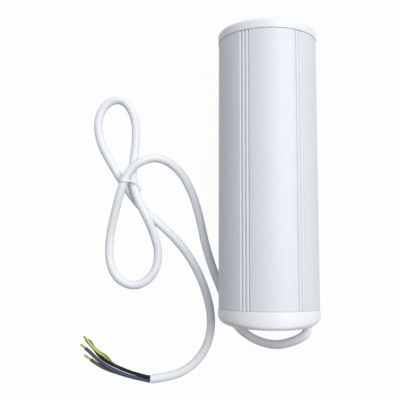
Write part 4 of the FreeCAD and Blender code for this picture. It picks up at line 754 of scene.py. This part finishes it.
class CURTAINMOTOR_OT_caps(Operator):
    """Makes the two white plastic caps with their screw seats and openings"""

    bl_idname = "curtain_motor.caps"
    bl_label = "End caps"

    def execute(self, context):
        self.top()
        self.bottom()
        return {"FINISHED"}

    def seats(self, form, face, inwards):
        """Cutters for the four screws: a seat for the head, and a hole through the wall."""
        seat = face + inwards * SEAT_DEPTH
        height = [face - inwards * CUT_START, seat, seat, face + inwards * CUT_DEPTH]
        for x, z in port_places():
            form.add(spun([SEAT_RADIUS, SEAT_RADIUS, HOLE_RADIUS, HOLE_RADIUS], height, x, z, 40))

    def bosses(self, form, start, end):
        """The four pillars round the screws."""
        radius = [BOSS_RADIUS, BOSS_RADIUS, HOLE_RADIUS, HOLE_RADIUS]
        for x, z in port_places():
            form.add(spun(radius, [start, end, end, start], x, z, 40), closed=True)

    def put_together(self, form, cutter, extra, node):
        """Opens a cap's shell with the cutter, and adds what stands on it."""
        shell = carve(form.mesh(), cutter.mesh())
        piece(joined([shell, extra.mesh()]), form.name, "cap_plastic", [node])

    def top(self):
        sizes = settings().housing
        form = Form("top_cap_shell")
        rim = sizes.top_rounding
        cap_shell(form, rim, rim, rim, TOP_FACE, TOP_FACE - TUBE_END, -1)
        cutter = Form("top_cutter")
        cutter.add(spun(
            [COLLAR_BORE, COLLAR_BORE], [TOP_FACE + CUT_START, TOP_FACE - CUT_DEPTH], count=96
        ))
        self.seats(cutter, TOP_FACE, -1)
        extra = Form("collar")
        base = TOP_FACE - COLLAR_ROOT
        end = COLLAR_END
        extra.add(spun(
            [COLLAR_RADIUS, COLLAR_RADIUS, COLLAR_RADIUS - COLLAR_EDGE,
             COLLAR_BORE + COLLAR_EDGE, COLLAR_BORE, COLLAR_BORE],
            [base, end - COLLAR_EDGE, end, end, end - COLLAR_EDGE, base], count=96,
        ), closed=True)
        self.bosses(extra, TOP_FACE - sizes.cap_floor, TUBE_END + BOSS_GAP)
        self.put_together(form, cutter, extra, "top_cap")

    def bottom(self):
        sizes = settings().housing
        form = Form("bottom_cap_shell")
        cap_shell(
            form, sizes.bottom_rounding, sizes.side_reach, sizes.side_rise, END_FACE,
            TUBE_START - END_FACE, 1,
        )
        cutter = Form("bottom_cutter")
        self.seats(cutter, END_FACE, 1)
        start = END_FACE - CUT_START
        end = END_FACE + CUT_DEPTH
        low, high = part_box("control_socket")
        cutter.add(bar(
            low[0] - SOCKET_GAP, high[0] + SOCKET_GAP, start, end, low[2] - SOCKET_GAP,
            high[2] + SOCKET_GAP, SOCKET_CORNER,
        ))
        for node, radius in ROUND_OPENINGS.items():
            cutter.add(spun([radius, radius], [start, end], *middle_of(node), 64))
        extra = Form("inside")
        self.bosses(extra, END_FACE + sizes.cap_floor, TUBE_START)
        self.put_together(form, cutter, extra, "bottom_cap")


def joined(meshes):
    """One mesh of several, with sharp edges as they were."""
    work = bmesh.new()
    for mesh in meshes:
        work.from_mesh(mesh)
    whole = meshes[0]
    work.to_mesh(whole)
    work.free()
    return smooth(whole)


# Cords


def route_line(name, route, steps):
    """The line of the open spline of order 3 through a route's control points."""
    data = bpy.data.curves.new(name, "CURVE")
    data.dimensions = "3D"
    data.resolution_u = steps
    spline = data.splines.new("NURBS")
    spline.points.add(len(route) - 1)
    spline.points.foreach_set("co", np.column_stack([route, np.ones(len(route))]).ravel())
    spline.order_u = 3
    spline.use_endpoint_u = True
    drawn = placed(name, data)
    mesh = bpy.data.meshes.new_from_object(drawn)
    line = np.empty(len(mesh.vertices) * 3)
    mesh.vertices.foreach_get("co", line)
    bpy.data.objects.remove(drawn)
    bpy.data.curves.remove(data)
    bpy.data.meshes.remove(mesh)
    return line.reshape(-1, 3)


def lengths_along(line):
    steps = np.linalg.norm(np.diff(line, axis=0), axis=1)
    return np.concatenate([[0.0], np.cumsum(steps)])


def frames_along(line):
    """Unit vectors ahead, sideways and upwards at each point of a line."""
    ahead = unit(np.gradient(line, axis=0))
    side = unit(np.cross(ahead, UP))
    return ahead, side, np.cross(side, ahead)


def last_frame(line):
    """The end of a line, and its unit vectors ahead, sideways and upwards there."""
    return (line[-1], *(vectors[-1] for vectors in frames_along(line)))


def cut_end(line, radius, count, steps):
    """Rings at the cut end of a round cord, for its broken edge and sunk face."""
    end, ahead, side, top = last_frame(line)
    ring = rings(side, top, count)
    return np.stack([
        end + ahead * beyond + ring * (radius - within) for beyond, within in steps
    ])


def tube_grid(line, radius, count):
    """A ring about each point of a line: point + radius (cos a side + sin a up)."""
    side, top = frames_along(line)[1:]
    radius = np.broadcast_to(radius, (len(line), count))
    return line[:, None, :] + radius[:, :, None] * rings(side, top, count)


class CURTAINMOTOR_OT_lead(Operator):
    """Makes the mains lead, whose jacket shows the twist of its four cores faintly"""

    bl_idname = "curtain_motor.lead"
    bl_label = "Mains lead"

    def execute(self, context):
        sizes = settings().lead
        radius = sizes.diameter / 2
        line = route_line("lead_line", LEAD_ROUTE, 12)
        distance = lengths_along(line)[:, None]
        turn = 4 * turn_angles(32)[None, :] + 2 * math.pi * distance / sizes.lay_of_cores
        wall = tube_grid(line, radius * (1 + RIPPLE * np.sin(turn)), 32)
        form = Form("mains_lead")
        form.add(np.concatenate([wall, cut_end(line, radius, 32, JACKET_CUT)]))
        made = form.show("cable_white", ["power_cable"], sharp=40.0)
        tie()
        return {"FINISHED"}


def tie():
    """A flat strap round two strands: an oval about both, whose loose end lies over the
    second strand and curls down beside it."""
    sizes = settings().lead
    width = sizes.tie_width
    middles = np.array(TIED_STRANDS)
    across = unit(middles[1] - middles[0])
    beside = np.array([-across[1], across[0]])
    reach = sizes.diameter / 2 + TIE_GAP
    bend = np.linspace(-math.pi / 2, math.pi / 2, 24)[:, None]
    arc = reach * (np.cos(bend) * across + np.sin(bend) * beside)
    loop = np.concatenate([middles[1] + arc, middles[0] - arc])
    height = (loop - middles.mean(axis=0)) @ beside / reach
    lean = TIE_PLACE - TIE_LEAN * np.clip(height, 0.0, 1.0)
    line = np.column_stack([loop[:, 0], lean, loop[:, 1]])
    form = Form("strap")
    wide = np.broadcast_to(np.array([0.0, 1.0, 0.0]), line.shape)
    form.add(strap_grid(line, wide, sizes.tie_thickness, width, True), closed=True)
    tail = route_line("tie_tail", TIE_TAIL, 8)
    side = frames_along(tail)[1]
    share = np.linspace(0.0, 1.0, len(tail))[:, None]
    width = width * (TAIL_WIDTH - TAIL_NARROWING * share)
    form.add(strap_grid(tail, side, TAIL_THICKNESS, width, False))
    return form.show("tie_white", ["cable_tie"])


def strap_grid(line, wide, thickness, width, closed):
    """A flat band along a line: a rectangle with cut corners across it, as wide as given
    along one direction and as thick as given along the normal of both."""
    if closed:
        ahead = np.roll(line, -1, axis=0) - np.roll(line, 1, axis=0)
    else:
        ahead = np.gradient(line, axis=0)
    ahead = unit(ahead)
    wide = unit(wide - (wide * ahead).sum(axis=1)[:, None] * ahead)
    normal = np.cross(ahead, wide)
    half_w = width / 2
    half_t = thickness / 2
    edge = thickness / 3
    corners = [
        (half_w - edge, half_t), (-half_w + edge, half_t), (-half_w, half_t - edge),
        (-half_w, -half_t + edge), (-half_w + edge, -half_t), (half_w - edge, -half_t),
        (half_w, -half_t + edge), (half_w, half_t - edge),
    ]
    rows = [line + a * wide + b * normal for a, b in corners]
    return np.stack(rows, axis=1)


class CURTAINMOTOR_OT_cores(Operator):
    """Makes the four insulated cores and their bared, twisted ends"""

    bl_idname = "curtain_motor.cores"
    bl_label = "Cores"

    def execute(self, context):
        sizes = settings().lead
        radius = sizes.core_diameter / 2
        for name, route in CORE_ROUTES.items():
            line = route_line(name, route, 14)
            distance = lengths_along(line)[:, None]
            turn = 2 * turn_angles(24)[None, :] + 2 * math.pi * distance / sizes.lay_of_stripes
            stripe = np.pad(np.cos(turn), ((0, len(CORE_CUT)), (0, 0)), "edge")
            wall = tube_grid(line, radius, 24)
            form = Form(f"core_{name}_piece")
            form.add(np.concatenate([wall, cut_end(line, radius, 24, CORE_CUT)]))
            made = form.show(f"core_{name}", [f"core_{name}"], sharp=40.0, stripe=stripe)
            tip = self.tip(name, line)
        return {"FINISHED"}

    def tip(self, name, line):
        """Twisted strands: helices of small radius about the end's direction, round a
        middle one, each cut a little shorter or longer than the next."""
        sizes = settings().lead
        form = Form(f"bared_{name}")
        end, ahead, side, top = last_frame(line)
        start = end - ahead * STRAND_START
        reach = BARED[name] + STRAND_START
        share = np.linspace(0.0, 1.0, 32)[:, None]
        turns = 2 * math.pi * reach / sizes.lay_of_strands
        for strand in range(sizes.strands):
            angle = 2 * math.pi * strand / sizes.strands + turns * share
            splay = STRAND_CIRCLE * (1 + STRAND_SPLAY * share * math.sin(2.4 * strand))
            helix = start + ahead * reach * share * (1 - STRAND_STEP * (strand % 4))
            helix = helix + splay * (np.cos(angle) * side + np.sin(angle) * top)
            form.add(tube_grid(helix, STRAND_RADIUS, 8))
        middle = start + ahead * reach * share * (1 - STRAND_STEP)
        form.add(tube_grid(middle, MIDDLE_RADIUS, 10))
        return form.show("copper", ["copper_ends"], sharp=50.0)


# Fittings


class CURTAINMOTOR_OT_fittings(Operator):
    """Makes the screws, drive sleeve, button, spring, light pipe, grommet and contacts"""

    bl_idname = "curtain_motor.fittings"
    bl_label = "Screws and fittings"

    def execute(self, context):
        self.screws()
        self.drive_sleeve()
        self.button()
        self.spring()
        self.light_pipe()
        self.grommet()
        self.contacts()
        return {"FINISHED"}

    def turned(self, node, name, slot, profile, count, body="housing", closed=False):
        """A piece turned about the middle of a node, from pairs of radius and height."""
        form = Form(name)
        radius, height = zip(*profile)
        form.add(spun(radius, height, *middle_of(node), count), closed)
        form.show(slot, [node], body)

    def screws(self):
        form = Form("cap_screw_set")
        for x, z in port_places():
            screw(form, x, z, TOP_FACE, 1)
            screw(form, x, z, END_FACE, -1)
        form.show("zinc_steel", ["cap_screws"])

    def drive_sleeve(self):
        """A toothed ring: its radius swings between root and tip as a steep, clipped wave."""
        angles = turn_angles(192)
        wave = TOOTH_STEEPNESS * np.cos(SLEEVE_TEETH * angles) + TOOTH_WIDENING
        inwards = np.array([SLEEVE_EDGE, 0.0, 0.0, SLEEVE_EDGE])[:, None]
        outer = SLEEVE_RADIUS + TOOTH_SWING * np.clip(wave, -1, 1) - inwards
        low, high = ends_of("drive_spline")
        height = [low, low + SLEEVE_EDGE, high - SLEEVE_EDGE, high, high, low]
        radius = np.concatenate([outer, np.full((2, 192), SLEEVE_BORE)])
        form = Form("drive_sleeve").add(spun(radius, height, count=192), closed=True)
        form.show("black_plastic", ["drive_spline"], "output")

    def button(self):
        """A round button with a shallow dish, its flange and its stem."""
        face, end = ends_of("program_button")
        flange = END_FACE + BUTTON_SEAT
        back = flange + FLANGE_THICKNESS
        self.turned("program_button", "button_piece", "grey_plastic", [
            (0.0001, face + 0.00035), (0.0012, face + 0.00028), (0.0022, face + 0.0001),
            (0.0025, face), (BUTTON_RADIUS, face + 0.0003), (BUTTON_RADIUS, flange),
            (BUTTON_FLANGE, flange), (BUTTON_FLANGE, back), (STEM_RADIUS, back),
            (STEM_RADIUS, end),
        ], 40, "button")

    def spring(self):
        """A coil about the button's stem: (x + r cos t, y, z + r sin t), with y growing
        evenly from the button to the switch."""
        x, z = middle_of("button_spring")
        low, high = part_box("button_spring")
        coil = (high[0] - low[0]) / 2 - SPRING_WIRE
        share = np.linspace(0.0, 1.0, 160)
        turn = 2 * math.pi * SPRING_TURNS * share
        height = low[1] + SPRING_WIRE + share * (high[1] - low[1] - 2 * SPRING_WIRE)
        out = np.column_stack([np.cos(turn), np.zeros_like(turn), np.sin(turn)])
        line = np.column_stack([x + coil * out[:, 0], height, z + coil * out[:, 2]])
        across = np.cross(unit(np.gradient(line, axis=0)), out)
        form = Form("coil_spring")
        form.add(line[:, None, :] + SPRING_WIRE * rings(out, across, 10))
        made = form.show("zinc_steel", ["button_spring"], None, 60.0)
        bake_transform(made)

    def light_pipe(self):
        """A rod with a domed end."""
        face, end = ends_of("light_pipe")
        self.turned("light_pipe", "light_pipe_piece", "clear_plastic", [
            (0.0001, face), (0.0006, face + 0.00005), (0.0011, face + 0.0002),
            (0.0014, face + 0.0004), (PIPE_RADIUS, face + 0.0007), (PIPE_RADIUS, end),
        ], 32)

    def grommet(self):
        """A rubber ring with a small rolled lip round the lead."""
        lip, end = ends_of("cable_grommet")
        flange = END_FACE + GROMMET_SEAT
        self.turned("cable_grommet", "grommet_piece", "rubber_grey", [
            (GROMMET_BORE, lip + 0.0003), (0.0037, lip + 0.00005), (0.0041, lip),
            (0.0044, lip + 0.0001), (GROMMET_RADIUS, lip + 0.0004), (GROMMET_RADIUS, flange),
            (GROMMET_FLANGE, flange), (GROMMET_FLANGE, end), (GROMMET_BORE, end),
        ], 56, closed=True)

    def contacts(self):
        """Gilt contacts side by side in the socket, each a bar bent down at its front."""
        low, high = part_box("control_socket")
        middle = (low[0] + high[0]) / 2
        back, front = END_FACE + CONTACT_BACK, END_FACE + CONTACT_FRONT
        wide, deep = CONTACT_WIDTH / 2, CONTACT_DEPTH / 2
        share = np.linspace(0.0, 1.0, 12)[:, None]
        level = high[2] - CONTACT_BELOW - CONTACT_DROP * np.sin(share * math.pi / 2)
        corners = np.array([
            (-wide, 0, -deep), (wide, 0, -deep), (wide, 0, deep), (-wide, 0, deep)
        ])
        form = Form("socket_contacts")
        for step in range(CONTACTS):
            x = middle + (step - (CONTACTS - 1) / 2) * CONTACT_PITCH
            rows = np.hstack([np.full_like(share, x), back + share * (front - back), level])
            form.add(rows[:, None, :] + corners)
        form.show("bronze")


def screw(form, x, z, face, outwards):
    """A pan-head screw: a disc whose top sinks along a cross of two bars, on a shank."""
    seat = face - outwards * SEAT_DEPTH
    inner = np.linspace(0.00005, HEAD_FACE, 12)
    radii = np.concatenate([inner, [HEAD_RIM, HEAD_RADIUS, HEAD_RADIUS]])[:, None]
    angles = turn_angles(48)
    px = radii * np.cos(angles)
    pz = radii * np.sin(angles)
    reach = np.clip((CROSS_LENGTH - radii) / CROSS_END, 0, 1)
    narrow = np.minimum(np.abs(px), np.abs(pz))
    cross = np.clip((CROSS_WIDTH - narrow) / CROSS_SLOPE, 0, 1) * reach
    dome = HEAD_HEIGHT - HEAD_DOME * (radii / HEAD_FACE) ** 2
    dome = np.where(radii > HEAD_FACE, RIM_HEIGHT, dome) * np.ones_like(px)
    dome[-1] = 0.0
    height = dome - CROSS_DEPTH * cross
    top = np.stack([x + px, seat + outwards * height, z + pz], axis=-1)
    end = seat - outwards * SHANK_LENGTH
    point = end - outwards * POINT_LENGTH
    shank = spun([SHANK_RADIUS, SHANK_RADIUS, POINT_RADIUS], [seat, end, point], x, z)
    form.add(np.concatenate([top, shank]))


class CURTAINMOTOR_OT_inside(Operator):
    """Gives each carried-over piece inside the housing its finish"""

    bl_idname = "curtain_motor.inside"
    bl_label = "Inside pieces"

    def execute(self, context):
        slots = {part["node"]: part["material_slot"] for part in frame["record"]["subparts"]}
        for name, node in frame["nodes"].items():
            for holder in node.material_slots:
                holder.material = FINISHES[slots[name]]
            if not node.material_slots:
                node.data.materials.append(FINISHES[slots[name]])
        return {"FINISHED"}


# Stage

WORLD_LEVEL, WORLD_SLOPE, WORLD_TINT = 0.44, 0.38, (0.955, 0.995, 1.06)
LAMP_PLACE, LAMP_TARGET, LAMP_SIZE, LAMP_POWER = (0.84, 0.42, 1.6), (0.0, 0.0, 0.03), 1.5, 24.6
FLOOR_SIZE, FLOOR_TONES = 6.0, (0.395, 0.405)
CAMERA_PLACE, CAMERA_LENS = (-0.0545, -0.075, 0.494), 51.75
CAMERA_TILT, CAMERA_ROLL = math.radians(6.30), math.radians(0.29)


class CURTAINMOTOR_OT_stage(Operator):
    """Makes the pale floor, the plain world, the soft lamp and the camera"""

    bl_idname = "curtain_motor.stage"
    bl_label = "Stage"

    def execute(self, context):
        self.floor()
        self.world(context)
        self.lamp()
        self.camera(context)
        return {"FINISHED"}

    def floor(self):
        far = FLOOR_SIZE
        corners = [(-far, -far, 0), (far, -far, 0), (far, far, 0), (-far, far, 0)]
        mesh = bpy.data.meshes.new("floor")
        mesh.from_pydata(corners, [], [(0, 1, 2, 3)])
        finish = Finish("floor_paper")
        speck = finish.noise(40.0, 3.0) + 0.5
        mesh.materials.append(
            finish.made(finish.mix(speck, *((tone,) * 3 for tone in FLOOR_TONES)), 0.9)
        )
        glow = finish.node("Emission", {}, {"Color": (1, 1, 1, 1), "Strength": 1.0})
        plain = Wire(finish, finish.shader.outputs[0])
        mixed = finish.node("MixShader", {}, {0: 0.97 * finish.seen(), 1: plain, 2: glow})
        finish.feed(finish.tree.nodes["Material Output"].inputs["Surface"], mixed)
        placed("floor", mesh)

    def world(self, context):
        """White where it is seen. Where it lights, a plain low level that falls towards the
        cable end and rises towards the drive end."""
        world = bpy.data.worlds.new("plain_world")
        world.use_nodes = True
        wiring = Wiring(world.node_tree)
        back = wiring.tree.nodes["Background"]
        seen = wiring.seen()
        ray = wiring.node("TexCoord", {}, {}, "Generated")
        tones = {0: seen, 6: opaque(WORLD_TINT), 7: (1.0, 1.0, 1.0, 1.0)}
        wiring.feed(back.inputs["Color"], wiring.node("Mix", {"data_type": "RGBA"}, tones, 2))
        along = wiring.node("SeparateXYZ", {}, {"Vector": ray}, "Y")
        lit = WORLD_LEVEL + WORLD_SLOPE * along
        level = lit * (1.0 - seen) + seen
        wiring.feed(back.inputs["Strength"], level)
        context.scene.world = world
        context.scene.view_settings.view_transform = "Standard"

    def lamp(self):
        light = bpy.data.lights.new("key_lamp", "AREA")
        light.shape = "DISK"
        light.size = LAMP_SIZE
        light.energy = LAMP_POWER
        made = placed("key_lamp", light)
        ahead = Vector(LAMP_TARGET) - Vector(LAMP_PLACE)
        turn = ahead.to_track_quat("-Z", "Y").to_matrix().to_4x4()
        made.matrix_world = Matrix.Translation(LAMP_PLACE) @ turn

    def camera(self, context):
        """Above the motor, looking down and a little towards its drive end."""
        ahead = Vector((0.0, math.sin(CAMERA_TILT), -math.cos(CAMERA_TILT)))
        level = Vector((1.0, 0.0, 0.0))
        top = Vector((0.0, math.cos(CAMERA_TILT), math.sin(CAMERA_TILT)))
        right = level * math.cos(CAMERA_ROLL) + top * math.sin(CAMERA_ROLL)
        upright = top * math.cos(CAMERA_ROLL) - level * math.sin(CAMERA_ROLL)
        data = bpy.data.cameras.new("camera")
        data.sensor_width = 36.0
        data.lens = CAMERA_LENS
        data.clip_start = 0.01
        made = placed("camera", data)
        columns = Matrix((right, upright, -ahead)).transposed().to_4x4()
        made.matrix_world = Matrix.Translation(CAMERA_PLACE) @ columns
        context.scene.camera = made


class CURTAINMOTOR_PT_panel(Panel):
    """Lists the steps that make the motor"""

    bl_label = "Curtain Motor"
    bl_idname = "CURTAINMOTOR_PT_panel"
    bl_space_type = "VIEW_3D"
    bl_region_type = "UI"
    bl_category = "Curtain Motor"

    def draw(self, context):
        for step in STEPS:
            self.layout.operator(step.bl_idname)


STEPS = (
    CURTAINMOTOR_OT_inside,
    CURTAINMOTOR_OT_tube,
    CURTAINMOTOR_OT_caps,
    CURTAINMOTOR_OT_fittings,
    CURTAINMOTOR_OT_lead,
    CURTAINMOTOR_OT_cores,
    CURTAINMOTOR_OT_stage,
)
GROUPS = (HousingSizes, LeadSizes, Colours, MotorSettings)


def register():
    for kind in (*GROUPS, *STEPS, CURTAINMOTOR_PT_panel):
        bpy.utils.register_class(kind)
    bpy.types.Scene.curtain_motor = PointerProperty(type=MotorSettings)


def unregister():
    del bpy.types.Scene.curtain_motor
    for kind in reversed((*GROUPS, *STEPS, CURTAINMOTOR_PT_panel)):
        bpy.utils.unregister_class(kind)


def main():
    register()
    make_finishes()
    bpy.ops.curtain_motor.inside()
    bpy.ops.curtain_motor.tube()
    bpy.ops.curtain_motor.caps()
    bpy.ops.curtain_motor.fittings()
    bpy.ops.curtain_motor.lead()
    bpy.ops.curtain_motor.cores()
    bpy.ops.curtain_motor.stage()


if __name__ == "__main__":
    main()
